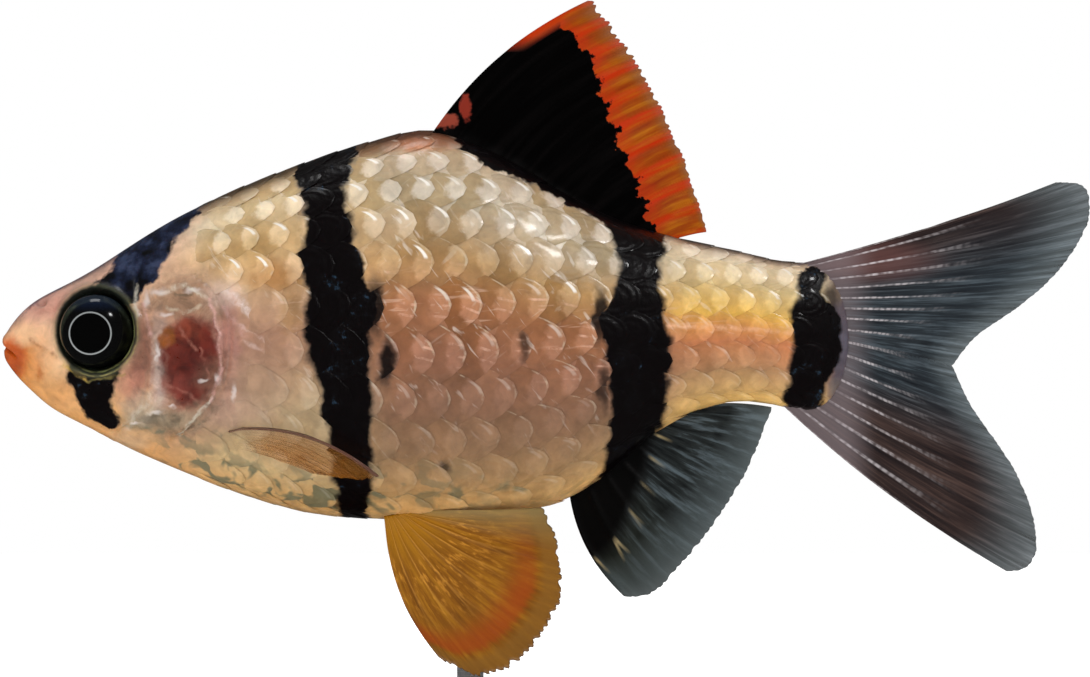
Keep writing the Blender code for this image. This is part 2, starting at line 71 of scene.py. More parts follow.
BODY_LENGTH = 50.7
BACK_LINE = ((0.0, 0.0), (0.42, 1.08), (1.6, 2.36), (5.2, 4.36), (11.2, 8.0), (17.2, 10.52),
             (22.0, 12.1), (25.6, 12.75), (29.8, 11.35), (33.6, 9.1), (36.6, 7.6), (40.0, 6.5),
             (44.2, 5.5), (47.0, 4.9), (50.7, 4.9))
BELLY_LINE = ((0.0, 0.0), (0.38, -1.5), (1.6, -2.95), (2.9, -4.05), (5.2, -5.28), (8.8, -7.05),
              (17.2, -10.05), (22.0, -10.65), (27.0, -10.5), (31.6, -10.1), (34.0, -9.4), (36.4, -7.8),
              (39.2, -5.4), (41.6, -4.2), (44.4, -3.6), (47.4, -4.05), (50.7, -4.6))
HALF_WIDTH = ((0.0, 0.0), (0.42, 0.95), (1.6, 1.6), (3.4, 2.5), (6.0, 3.35), (9.5, 4.1),
              (14.0, 4.7), (19.0, 5.0), (25.0, 4.95), (31.0, 4.3), (37.0, 3.2), (43.0, 2.15),
              (47.4, 1.45), (50.7, 0.7))
TRUNK_START = 20.0
SECTION_POWER = 0.88
RIDGE_SHARPENING = 0.3
WIDEST_SINK = 0.04
TAIL_ROUND_START = 48.0
TAIL_END_LEVEL = 0.3
SKIN_SINK = 0.12


def placed(x, y, z):
    """A point of the fish's own drawing, in metres in the frame."""
    return Vector((SNOUT_X + x, y, SNOUT_HEIGHT + z)) * MM


def smooth_curve(knots, at, warp=1.0):
    """A smooth line through the knots, read at one place. With warp 0.5 it may start
    straight up, as a blunt snout does."""
    places = [k[0] ** warp if warp != 1.0 else k[0] for k in knots]
    heights = [k[1] for k in knots]
    clamped = min(max(at, knots[0][0]), knots[-1][0])
    t = clamped ** warp if warp != 1.0 else clamped
    i = max(j for j in range(len(knots) - 1) if places[j] <= t or j == 0)
    step = places[i + 1] - places[i]

    def slope(j):
        low, high = max(j - 1, 0), min(j + 1, len(knots) - 1)
        return (heights[high] - heights[low]) / (places[high] - places[low])

    f = (t - places[i]) / step
    a, b = slope(i) * step, slope(i + 1) * step
    rise = heights[i + 1] - heights[i]
    return heights[i] + f * (a + f * (3 * rise - 2 * a - b + f * (a + b - 2 * rise)))


@functools.lru_cache(maxsize=None)
def section(x):
    """Top, bottom, widest level, half width and upper fullness of the body at x."""
    top, bottom = smooth_curve(BACK_LINE, x, 0.5), smooth_curve(BELLY_LINE, x, 0.5)
    share = min(x / TRUNK_START, 1.0)
    widest = bottom + (top - bottom) * (0.5 - WIDEST_SINK * share)
    return top, bottom, widest, smooth_curve(HALF_WIDTH, x, 0.5), SECTION_POWER + RIDGE_SHARPENING * share


def body_point(x, turn, grow=0.0):
    """The body's surface at distance x and at an angle round from the back ridge."""
    top, bottom, widest, wide, fullness = section(x)
    top, bottom, wide = top + grow, bottom - grow, wide + grow
    if x > TAIL_ROUND_START:
        along = min((x - TAIL_ROUND_START) / (BODY_LENGTH - TAIL_ROUND_START), 1.0)
        rounding = math.sqrt(max(1 - along ** 2, 0.0))
        top = TAIL_END_LEVEL + (top - TAIL_END_LEVEL) * rounding
        bottom = TAIL_END_LEVEL + (bottom - TAIL_END_LEVEL) * rounding
        widest = TAIL_END_LEVEL + (widest - TAIL_END_LEVEL) * rounding
        wide *= rounding ** 0.5
    up, out = math.cos(turn), math.sin(turn)
    power = fullness if up > 0 else SECTION_POWER
    y = math.copysign(abs(out) ** power, out) * wide
    return x, y, widest + up * ((top - widest) if up > 0 else (widest - bottom))


def level_at(x, z):
    """Height as a share of the body's depth there, 0 at the belly and 1 at the back."""
    top, bottom = section(x)[:2]
    return min(max((z - bottom) / max(top - bottom, 0.2), 0.0), 1.0)


def swell(distance, width):
    """A smooth bump's height at a distance from its middle."""
    return math.exp(-(distance / width) ** 2)


def ease(share):
    """0 to 1, smooth at both ends."""
    t = min(max(share, 0.0), 1.0)
    return t * t * (3 - 2 * t)


def off_line(x, z, start, end):
    """Distance from a straight line between two points."""
    (ax, az), (bx, bz) = start, end
    span = (bx - ax) ** 2 + (bz - az) ** 2
    t = min(max(((x - ax) * (bx - ax) + (z - az) * (bz - az)) / span, 0.0), 1.0)
    return math.hypot(x - ax - t * (bx - ax), z - az - t * (bz - az))


MOUTH_LEVEL, MOUTH_SLOPE = -0.3, 0.75
LIP_APART, LIP_WIDTH, LIP_RAISED = 0.5, 0.36, 0.1
SLIT_WIDTH, SLIT_DEPTH = 0.08, 0.24
MAXILLA, MAXILLA_DEPTH, MAXILLA_WIDTH = ((1.7, 0.15), (3.2, -0.85)), 0.09, 0.12
NOSTRIL, NOSTRIL_DEPTH, NOSTRIL_WIDTH = (2.3, 1.0, 2.42), 0.42, 0.24
NOSTRIL_LID, LID_RAISED, LID_WIDTH = (1.85, 0.92, 2.16), 0.22, 0.32
# The socket's middle and half sizes.
SOCKET = (5.62, 0.7, 2.3, 2.48)
SOCKET_DEPTH, RIM_RAISED, RIM_GROOVE = 1.7, 0.13, 0.05
COVER_EDGE = ((-5.7, 10.1), (-5.2, 10.9), (-3.7, 12.1), (-2.4, 13.0), (0.2, 13.35), (2.0, 13.1),
              (3.4, 12.3), (4.1, 11.2))
COVER_RAISED, COVER_GROOVE = 0.24, 0.2
CHEEK_EDGE = ((-5.4, 6.9), (-4.4, 8.0), (-2.0, 8.7), (1.0, 8.6), (3.2, 8.0))
CHEEK_RAISED, CHEEK_GROOVE = 0.08, 0.1
THROAT_FOLD, FOLD_RAISED, FOLD_WIDTH = ((12.6, -3.3), (10.9, -5.2)), 0.12, 0.13
COVER_UNEVEN, COVER_LUMPS = 0.03, 1.6
# How far back the mouth and nostrils, the eyes and the gill cover shape the skin.
MOUTH_END, EYES_END, COVER_START, COVER_END = 3.6, 9.5, 5.0, 15.0


def relief(x, y, z):
    """How far the skin stands out from the plain body: lips and the line of the mouth,
    nostrils with their lids, eye sockets, cheek edge and gill covers."""
    out = 0.0
    if x < MOUTH_END:
        mouth = MOUTH_LEVEL - MOUTH_SLOPE * x
        fade = 1 - ease((x - 0.7) / 0.9)
        for rise in (LIP_APART, -LIP_APART):
            out += LIP_RAISED * fade * swell(z - mouth - rise, LIP_WIDTH)
        out -= SLIT_DEPTH * (1 - ease((x - 0.45) / 0.5)) * swell(z - mouth, SLIT_WIDTH)
        out -= MAXILLA_DEPTH * swell(off_line(x, z, *MAXILLA), MAXILLA_WIDTH)
        pit = math.dist((x, abs(y), z), NOSTRIL)
        lid = math.dist((x, abs(y), z), NOSTRIL_LID)
        out += LID_RAISED * swell(lid, LID_WIDTH) - NOSTRIL_DEPTH * swell(pit, NOSTRIL_WIDTH)
    if x < EYES_END and abs(y) > 0.6:
        ring = math.hypot((x - SOCKET[0]) / SOCKET[2], (z - SOCKET[1]) / SOCKET[3])
        out -= SOCKET_DEPTH * ease((1.0 - ring) / 0.16)
        out += RIM_RAISED * swell(ring - 1.08, 0.07) - RIM_GROOVE * swell(ring - 1.24, 0.06)
    if COVER_START < x < COVER_END:
        band = ease((z + 6.2) / 0.9) * ease((4.5 - z) / 0.9)
        past = x - smooth_curve(COVER_EDGE, z)
        out += COVER_RAISED * band * (1 - ease(past / 0.2 + 0.5)) * ease((x - 7.8) / 2.5)
        out -= COVER_GROOVE * band * swell(past - 0.28, 0.16)
        cheek = x - smooth_curve(CHEEK_EDGE, z)
        out += band * (CHEEK_RAISED * swell(cheek + 0.3, 0.26) - CHEEK_GROOVE * swell(cheek, 0.13))
        out += FOLD_RAISED * swell(off_line(x, z, *THROAT_FOLD), FOLD_WIDTH)
        out += COVER_UNEVEN * noise.noise(Vector((x, y, z)) * COVER_LUMPS) * band
    return out


RING_GAPS = ((0.0, 0.03), (0.6, 0.07), (13.5, 0.09), (16.5, 0.26), (46.0, 0.26), (50.7, 0.06))
AROUND = 180

ring_places = [0.0]
while ring_places[-1] < BODY_LENGTH:
    ring_places.append(ring_places[-1] + smooth_curve(RING_GAPS, ring_places[-1]))
ring_places = [place * BODY_LENGTH / ring_places[-1] for place in ring_places]
ring_count = len(ring_places) - 1


def to_piece(bm, name):
    """A bmesh as a named object at the origin that moves with the fish."""
    mesh = bpy.data.meshes.new(name)
    bm.to_mesh(mesh)
    bm.free()
    mesh.shade_smooth()
    piece = bpy.data.objects.new(name, mesh)
    bpy.context.scene.collection.objects.link(piece)
    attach(piece, "root")
    return piece


def fill(made, sockets):
    """Sets or links a node's input sockets, by name or number."""
    for key, value in sockets.items():
        if isinstance(value, bpy.types.NodeSocket):
            made.id_data.links.new(value, made.inputs[key])
        else:
            made.inputs[key].default_value = value


def add_node(tree, kind, *values, at=None, out=0, stops=(), points=(), **settings):
    """Adds one shader node with its settings and links, and gives one of its outputs or,
    with None, all of them. Values go to its sockets in order, those of at by number, and
    settings with a capital by name. stops are a colour ramp's places and hex colours,
    points a curve's places and heights."""
    made = tree.nodes.new("ShaderNode" + kind)
    sockets = {key: settings.pop(key) for key in list(settings) if key[0].isupper()}
    for key, value in settings.items():
        setattr(made, key, value)
    fill(made, {**dict(enumerate(values)), **(at or {}), **sockets})
    for i, (place, colour) in enumerate(stops):
        elements = made.color_ramp.elements
        stop = elements[i] if i < 2 else elements.new(place)
        stop.position = place
        stop.color = linear(colour)
    for i, (place, height) in enumerate(points):
        line = made.mapping.curves[0].points
        if i < 2:
            line[i].location = (place, height)
        else:
            line.new(place, height)
    if points:
        made.mapping.extend = "HORIZONTAL"
        made.mapping.update()
    return made.outputs if out is None else made.outputs[out]


def linear(colour):
    """An sRGB hex colour as the linear one that shaders take."""
    parts = [int(colour[i:i + 2], 16) / 255 for i in (0, 2, 4)]
    return (*[c / 12.92 if c <= 0.04045 else ((c + 0.055) / 1.055) ** 2.4 for c in parts], 1.0)


def finish_named(name, **values):
    """A new material, what adds nodes to it, and its Principled shader with its own
    sockets set."""
    made = bpy.data.materials.new(name)
    made.use_nodes = True
    shader = made.node_tree.nodes["Principled BSDF"]
    fill(shader, {key.replace("_", " "): value for key, value in values.items()})
    return made, functools.partial(add_node, made.node_tree), shader


SMOOTH = {"interpolation_type": "SMOOTHSTEP"}


def held(node, share, *limits):
    """A share kept down by each limit."""
    for limit in limits:
        share = node("Math", share, limit, operation="MULTIPLY")
    return share


def lay(node, colour, hue, share, *limits):
    """A hue, or another colour, laid over a colour by a share kept down by limits."""
    over = linear(hue) if isinstance(hue, str) else hue
    return node("Mix", held(node, share, *limits), at={6: colour, 7: over}, data_type="RGBA", out=2)


def off_from(node, value, middle):
    """How far a value is from a middle one, either way."""
    return node("Math", node("Math", value, middle, operation="SUBTRACT"), operation="ABSOLUTE")


# Colours run from belly to back, for the head, behind the gills, the middle and the stalk.
# Each row starts and ends its change from the one before at these distances.
COATS = (
    (0.0, 0.0, ((0.0, "D29454"), (0.2, "DAA66E"), (0.5, "EAC096"), (0.8, "E2B494"), (1.0, "C9A090"))),
    (8.0, 14.0, ((0.0, "D6A262"), (0.1, "CBAA78"), (0.3, "BAA07C"), (0.52, "B68A6E"), (0.66, "DAB288"),
                 (0.8, "E0BC8A"), (0.92, "F0DAB6"), (1.0, "C9A274"))),
    # In the row below, the stop at the belly's very edge is lightened: painted light that makes up for the
    # shade under the belly.
    (19.0, 24.0, ((0.0, "FFC880"), (0.06, "BC9462"), (0.17, "967250"), (0.28, "8E664C"), (0.42, "9C6A50"),
                  (0.56, "AE7652"), (0.68, "BA9464"), (0.84, "CCBCA4"), (1.0, "D2BAA0"))),
    (38.0, 42.0, ((0.0, "E2B468"), (0.22, "B0845A"), (0.42, "D08254"), (0.5, "DA9452"), (0.6, "F0BC58"),
                  (0.76, "E0C28A"), (0.93, "F0DABC"), (1.0, "C09A80"))),
    (49.0, 50.0, ((0.0, "5E4C50"), (0.5, "5A5460"), (1.0, "6E5A58"))),
)
# Spots: centre back and up, half length, half height, softness, strength, colour.
SPOTS = (
    (1.0, -1.0, 1.5, 1.7, 0.8, 0.8, "D07810"), (0.5, -0.9, 0.8, 1.2, 0.5, 0.9, "C44E00"),
    (0.8, -1.6, 0.5, 0.6, 0.6, 0.5, "A84000"), (2.2, -2.0, 0.24, 0.5, 0.6, 0.7, "B9651E"),
    (3.4, -2.9, 1.5, 0.7, 0.8, 0.5, "D08C44"), (5.6, -4.5, 2.4, 0.5, 0.8, 0.5, "D49A54"),
    (1.2, 0.5, 0.9, 0.6, 0.7, 0.5, "EEC89E"),
    (2.9, 2.2, 1.9, 0.9, 0.7, 0.7, "CF9282"),
    (11.4, -1.0, 3.3, 4.9, 0.35, 0.75, "A07464"), (15.6, -0.8, 2.2, 3.2, 0.8, 0.55, "A0745E"),
    (10.9, 2.4, 2.0, 1.0, 0.6, 0.6, "86684C"), (8.3, -0.4, 0.75, 2.6, 0.5, 0.85, "7E5040"),
    (7.6, -2.5, 0.9, 1.4, 0.6, 0.75, "A26654"), (9.5, -1.5, 0.4, 2.6, 0.7, 0.8, "B8A398"),
    (13.6, -0.5, 0.6, 2.8, 0.6, 0.6, "B88074"), (11.35, -1.2, 1.85, 2.75, 0.2, 0.95, "641000"),
    # The first spot on the next line, lighter red high on the gill patch, is a painted highlight.
    (10.9, 0.7, 1.0, 0.6, 0.6, 0.6, "8A3E26"), (11.7, -1.7, 0.9, 1.2, 0.7, 0.6, "521410"),
    (10.4, -2.6, 0.7, 0.7, 0.7, 0.5, "843A2E"), (9.9, 0.25, 0.42, 0.65, 0.45, 0.85, "96500E"),
    (9.5, -4.7, 2.3, 0.7, 0.6, 0.7, "7C745C"), (8.3, -4.0, 1.0, 0.9, 0.7, 0.55, "B2A48E"),
    (7.6, -5.9, 1.3, 0.5, 0.7, 0.5, "B09C80"),
    (11.9, -4.4, 1.2, 0.6, 0.7, 0.5, "9C8064"), (13.4, 2.9, 1.1, 0.8, 0.7, 0.45, "DCC2B8"),
    (16.3, 3.9, 1.3, 0.8, 0.7, 0.6, "B27428"), (15.3, 5.6, 0.9, 1.3, 0.7, 0.35, "B08A4A"),
    (17.3, 1.8, 0.7, 1.2, 0.7, 0.4, "B08446"), (12.6, 6.6, 1.0, 0.9, 0.7, 0.4, "E0D0B0"),
    (18.1, 8.7, 0.4, 1.3, 0.6, 0.6, "B8A49A"), (14.0, -2.2, 1.9, 1.2, 0.7, 0.45, "A8866A"),
    (14.4, -4.2, 1.6, 0.9, 0.7, 0.5, "BE9680"),
    (27.3, -9.1, 0.45, 0.45, 0.4, 0.7, "5C6450"), (29.9, -8.6, 0.5, 0.35, 0.5, 0.6, "666A52"),
    (31.0, -8.9, 0.35, 0.3, 0.5, 0.6, "666A52"), (50.0, 2.9, 0.6, 0.6, 0.5, 0.7, "8A7660"),
    (50.0, -3.0, 0.6, 0.8, 0.5, 0.35, "887A64"),
    (25.0, 12.4, 2.6, 0.9, 0.6, 0.8, "D97E48"),
    (21.6, 11.9, 1.6, 0.6, 0.6, 0.6, "C98A58"),
)
# Dark marks that no bar takes in.
MARKS = (
    (23.1, -1.2, 0.42, 1.5, 0.6, 0.97), (22.4, 2.2, 0.5, 1.7, 0.5, 0.97),
    (31.15, -0.15, 0.34, 0.75, 0.6, 0.75), (35.75, 1.6, 0.4, 1.5, 0.5, 0.95),
    (26.6, -7.4, 0.4, 0.45, 0.6, 0.7), (36.0, -2.6, 0.3, 1.2, 0.6, 0.8),
    (49.6, 2.4, 0.5, 0.9, 0.6, 0.7), (19.0, 12.0, 1.6, 0.5, 0.5, 0.8),
)
# Bars: height, left edge and right edge, from below upwards.
BARS = (
    ((-5.4, 7.0, 6.5), (-4.9, 5.7, 7.0), (-4.0, 4.8, 6.6), (-2.2, 4.0, 6.9), (-1.0, 4.3, 7.0),
     (0.0, 7.5, 6.5)),
    ((1.6, 7.2, 6.8), (2.2, 5.2, 7.8), (2.9, 4.8, 8.3), (3.6, 5.6, 9.0), (4.2, 6.4, 9.5), (6.2, 6.6, 10.4),
     (8.3, 7.0, 12.1), (10.0, 7.0, 12.6)),
    ((-10.9, 20.4, 22.0), (-9.0, 20.0, 22.1), (-6.4, 19.6, 22.2), (-3.4, 19.2, 22.1), (0.0, 18.3, 22.3),
     (1.6, 18.1, 22.4), (3.5, 18.3, 22.2), (4.8, 17.9, 21.5), (7.6, 18.3, 21.0), (8.4, 18.1, 20.6),
     (9.6, 17.6, 20.7), (11.4, 17.0, 21.4)),
    ((-10.4, 33.0, 38.5), (-9.5, 34.2, 38.7), (-8.2, 35.7, 39.0), (-5.8, 36.2, 39.5), (-3.4, 36.4, 39.8),
     (-0.4, 36.2, 40.1), (0.9, 35.7, 39.9), (2.6, 36.5, 39.5), (6.2, 36.5, 39.7), (7.4, 35.4, 39.8),
     (8.6, 33.3, 39.8), (10.0, 30.6, 39.8), (11.2, 27.9, 39.8), (12.0, 26.9, 39.8)),
    ((-4.6, 47.4, 48.3), (-3.9, 47.0, 49.0), (-2.2, 47.1, 49.4), (-1.0, 47.2, 50.1), (0.8, 47.4, 50.2),
     (2.0, 47.4, 50.0), (2.7, 47.5, 49.3), (4.2, 47.8, 49.3), (4.8, 48.5, 48.6)),
)
# The bars' curves run over these spans, in millimetres, and their edges fade over these.
DEPTH_SPAN, LENGTH_SPAN = 28.0, 66.0
BAR_SOFTNESS, SCALE_BAR_SOFTNESS = 0.16, 0.22


def from_oval(node, place, middle, half):
    """How far a place is from an oval's middle, with 1 at its edge, and which way."""
    away = node("VectorMath", place, (middle[0], 0.0, middle[1]), operation="SUBTRACT")
    scaled = node("VectorMath", away, (1 / half[0], 0.0, 1 / half[1]), operation="MULTIPLY")
    return node("VectorMath", scaled, operation="LENGTH", out=1), scaled


def oval_share(node, place, middle, half, soft, strength):
    """1 inside a soft-edged oval and 0 outside it, times a strength."""
    far = from_oval(node, place, middle, half)[0]
    return node("MapRange", far, 1 + soft, 1 - soft, 0.0, strength, **SMOOTH)


def united(node, before, share):
    """Where either of two shares is, or the second alone where there is none before."""
    return share if before is None else node("Math", before, share, operation="MAXIMUM")


def markings(node, place, level, softness):
    """The fish's colour at a place in its own drawing, with how black it is there."""
    torn = node("TexNoise", place, Scale=0.9, Detail=3.0, Roughness=0.55, out=1)
    shift = node("VectorMath", torn, (0.5, 0.5, 0.5), operation="SUBTRACT")
    wild = node("VectorMath", shift, (1.1, 0.0, 1.3), place, operation="MULTIPLY_ADD")
    parts = node("SeparateXYZ", wild, out=None)
    colour = None
    for start, end, stops in COATS:
        shade = node("ValToRGB", level, stops=stops)
        if colour is None:
            colour = shade
            continue
        share = node("MapRange", parts[0], start, end, **SMOOTH)
        colour = lay(node, colour, shade, share)

    mottle = node("TexNoise", place, Scale=0.55, Detail=5.0, Roughness=0.62)
    patch = node("MapRange", mottle, 0.3, 0.7, 0.84, 1.14)
    flecks = node("TexNoise", place, Scale=1.2, Detail=3.0, Roughness=0.6, Distortion=0.6)
    flecks = node("MapRange", flecks, 0.3, 0.7, 0.84, 1.14)
    patch = node("Math", patch, flecks, operation="MULTIPLY")

    for x, z, wide, high, soft, strength, hue in SPOTS:
        share = oval_share(node, wild, (x, z), (wide, high), soft, strength)
        colour = lay(node, colour, hue, share)

    # The gill cover is thin and shows a darker, cloudier weave of flesh and bone.
    cloudy = node("TexNoise", place, Scale=0.95, Detail=5.0, Roughness=0.62, Distortion=0.8)
    cloudy = node("MapRange", cloudy, 0.36, 0.6, 0.66, 1.14)
    cover = oval_share(node, place, (10.4, -1.0), (3.5, 5.0), 0.2, 1.0)
    cloudy = node("Mix", cover, at={2: 1.0, 3: cloudy})
    patch = node("Math", patch, cloudy, operation="MULTIPLY")
    colour = node("Mix", 1.0, at={6: colour, 7: patch}, data_type="RGBA", blend_type="MULTIPLY", out=2)

    # Grey-green flecks along the lower edge from the throat to the vent.
    low = node("MapRange", level, 0.17, 0.08)
    ahead = node("MapRange", parts[0], 8.5, 10.5)
    behind = node("MapRange", parts[0], 32.0, 22.0)
    edge = node("MapRange", level, 0.0, 0.03)
    fleck = node("TexNoise", place, Scale=0.8, Detail=2.0, Roughness=0.5, Distortion=0.5)
    share = node("MapRange", fleck, 0.5, 0.57, 0.0, 0.8)
    colour = lay(node, colour, "5E6650", share, low, ahead, behind, edge)

    # The four bars with the one through the eye.
    height = node("MapRange", parts[2], -DEPTH_SPAN / 2, DEPTH_SPAN / 2)
    black = None
    for bar in BARS:
        edges = []
        for side in (1, 2):
            knots = [(knot[0] / DEPTH_SPAN + 0.5, knot[side] / LENGTH_SPAN) for knot in bar]
            line = node("FloatCurve", 1.0, height, points=knots)
            edges.append(node("Math", line, LENGTH_SPAN, operation="MULTIPLY"))
        past = node("Math", parts[0], edges[0], operation="SUBTRACT")
        short = node("Math", edges[1], parts[0], operation="SUBTRACT")
        inside = node("Math", past, short, operation="MINIMUM")
        share = node("MapRange", inside, -softness, softness, **SMOOTH)
        black = united(node, black, share)
    for x, z, wide, high, soft, strength in MARKS:
        share = oval_share(node, wild, (x, z), (wide, high), soft, strength)
        black = united(node, black, share)
    # A thin dark line runs along the ridge of the back.
    ridge = node("MapRange", level, 0.955, 0.99, 0.0, 0.85)
    black = united(node, black, ridge)

    # Painted sheen: the black takes a navy sheen over the nape and blue glints elsewhere.
    nape = node("MapRange", parts[0], 13.5, 11.5, **SMOOTH)
    high = node("MapRange", parts[2], 1.5, 4.0)
    navy_sheen = held(node, nape, high)
    sparkle = node("TexNoise", place, Scale=2.6, Detail=5.0, Roughness=0.7)
    cloud = node("TexNoise", place, Scale=0.7, Detail=4.0, Roughness=0.6)
    sparkle = node("Math", sparkle, cloud, operation="ADD")
    sparkle = node("Math", sparkle, 0.5, operation="MULTIPLY")
    glint = node("ValToRGB", sparkle, stops=((0.5, "060102"), (0.6, "0A0608"), (0.68, "24445C")))
    blue = node("ValToRGB", cloud, stops=((0.38, "08080C"), (0.5, "181F36"), (0.64, "36405C")))
    return lay(node, colour, lay(node, glint, blue, navy_sheen), black), black


def stroked(node, colour, place, strokes):
    """Lays thin lines, broken up here and there, over a colour: start and end, half width, strength, hue.
    Lines of one hue are laid together."""
    laid = {}
    broken_up = node("TexNoise", place, Scale=1.6, Detail=4.0, Roughness=0.65)
    broken_up = node("MapRange", broken_up, 0.4, 0.6, 0.15, 1.1)
    for (ax, az), (bx, bz), width, strength, hue in strokes:
        run = Vector((bx - ax, 0.0, bz - az))
        away = node("VectorMath", place, (ax, 0.0, az), operation="SUBTRACT")
        away = node("VectorMath", away, (1.0, 0.0, 1.0), operation="MULTIPLY")
        share = node("VectorMath", away, tuple(run / run.length_squared), operation="DOT_PRODUCT", out=1)
        share = node("Math", share, 0.0, operation="MAXIMUM")
        share = node("Math", share, 1.0, operation="MINIMUM")
        nearest = node("VectorMath", tuple(run), at={3: share}, operation="SCALE")
        far = node("VectorMath", away, nearest, operation="DISTANCE", out=1)
        drawn = node("MapRange", far, width * 1.4, 0.0, 0.0, strength, **SMOOTH)
        if hue in laid:
            drawn = node("Math", drawn, laid[hue], operation="MAXIMUM")
        laid[hue] = drawn
    for hue, drawn in laid.items():
        drawn = node("Math", drawn, broken_up, operation="MULTIPLY")
        colour = lay(node, colour, hue, drawn)
    return colour


def drawing_place(node):
    """The point shaded, in millimetres in the fish's own drawing."""
    here = node("TexCoord", out="Object")
    return node("VectorMath", here, (1 / MM,) * 3, (-SNOUT_X, 0.0, -SNOUT_HEIGHT), operation="MULTIPLY_ADD")


bm = bmesh.new()
level_layer = bm.verts.layers.float.new("level")
wrap = bm.loops.layers.uv.new("OFBake")
bmesh.ops.create_uvsphere(bm, u_segments=AROUND, v_segments=ring_count, radius=1.0)
ring_of, turn_of = {}, {}
for vert in bm.verts:
    ring = round(math.acos(max(-1.0, min(1.0, vert.co.z))) / math.pi * ring_count)
    turn = math.atan2(vert.co.y, vert.co.x)
    ring_of[vert], turn_of[vert] = ring, turn
    x, y, z = body_point(ring_places[ring], turn, -SKIN_SINK)
    if ring == 0:
        x, y, z = 0.0, 0.0, 0.0
    if ring == ring_count:
        x, y, z = BODY_LENGTH, 0.0, TAIL_END_LEVEL
    vert.co = Vector((x, y, z))
bmesh.ops.recalc_face_normals(bm, faces=bm.faces)
if bm.calc_volume(signed=True) < 0:
    bmesh.ops.reverse_faces(bm, faces=bm.faces)
bm.normal_update()
for vert, outward in [(vert, vert.normal.copy()) for vert in bm.verts]:
    x, y, z = vert.co
    vert[level_layer] = level_at(x, z)
    vert.co += outward * relief(x, y, z)
    vert.co = placed(*vert.co)
for face in bm.faces:
    turns = [turn_of[v] for v in face.verts if 0 < ring_of[v] < ring_count]
    middle = sum(turns) / max(len(turns), 1)
    crossing = max(turn_of[v] for v in face.verts) - min(turn_of[v] for v in face.verts) > math.pi
    for loop in face.loops:
        turn = turn_of[loop.vert]
        if ring_of[loop.vert] in (0, ring_count):
            turn = middle
        elif crossing and turn < 0:
            turn += 2 * math.pi
        loop[wrap].uv = (ring_places[ring_of[loop.vert]] / BODY_LENGTH, 0.5 + turn / (2 * math.pi))
skin = to_piece(bm, "skin")

# Wet skin: soft and slightly see-through over flesh, under a clear film of slime that
# gives small sharp lights over a duller body.
wet_skin, node, shader = finish_named("wet_fish_skin", Roughness=0.38, Coat_Weight=0.45, Coat_Roughness=0.14,
                                      Subsurface_Weight=0.1, Subsurface_Scale=0.0006)
place = drawing_place(node)
level = node("Attribute", attribute_name="level", out=2)
colour = markings(node, place, level, BAR_SOFTNESS)[0]

# Silver flecks of guanine over the top of the gill cover and behind it, laid on as painted white highlights.
SILVER_HIGHLIGHTS = (
    (9.35, 3.0, 0.42, 0.26), (8.7, 2.5, 0.2, 0.4), (11.5, 3.1, 0.5, 0.16), (12.9, -2.2, 0.16, 0.24),
    (13.85, -3.0, 0.14, 0.4), (9.3, -0.6, 0.1, 0.4), (9.9, 1.7, 0.34, 0.14), (12.1, -2.3, 0.26, 0.1),
    (12.4, 3.5, 0.24, 0.12), (9.2, -4.2, 0.36, 0.1), (10.2, -3.8, 0.2, 0.08), (7.9, -4.9, 0.3, 0.08),
)
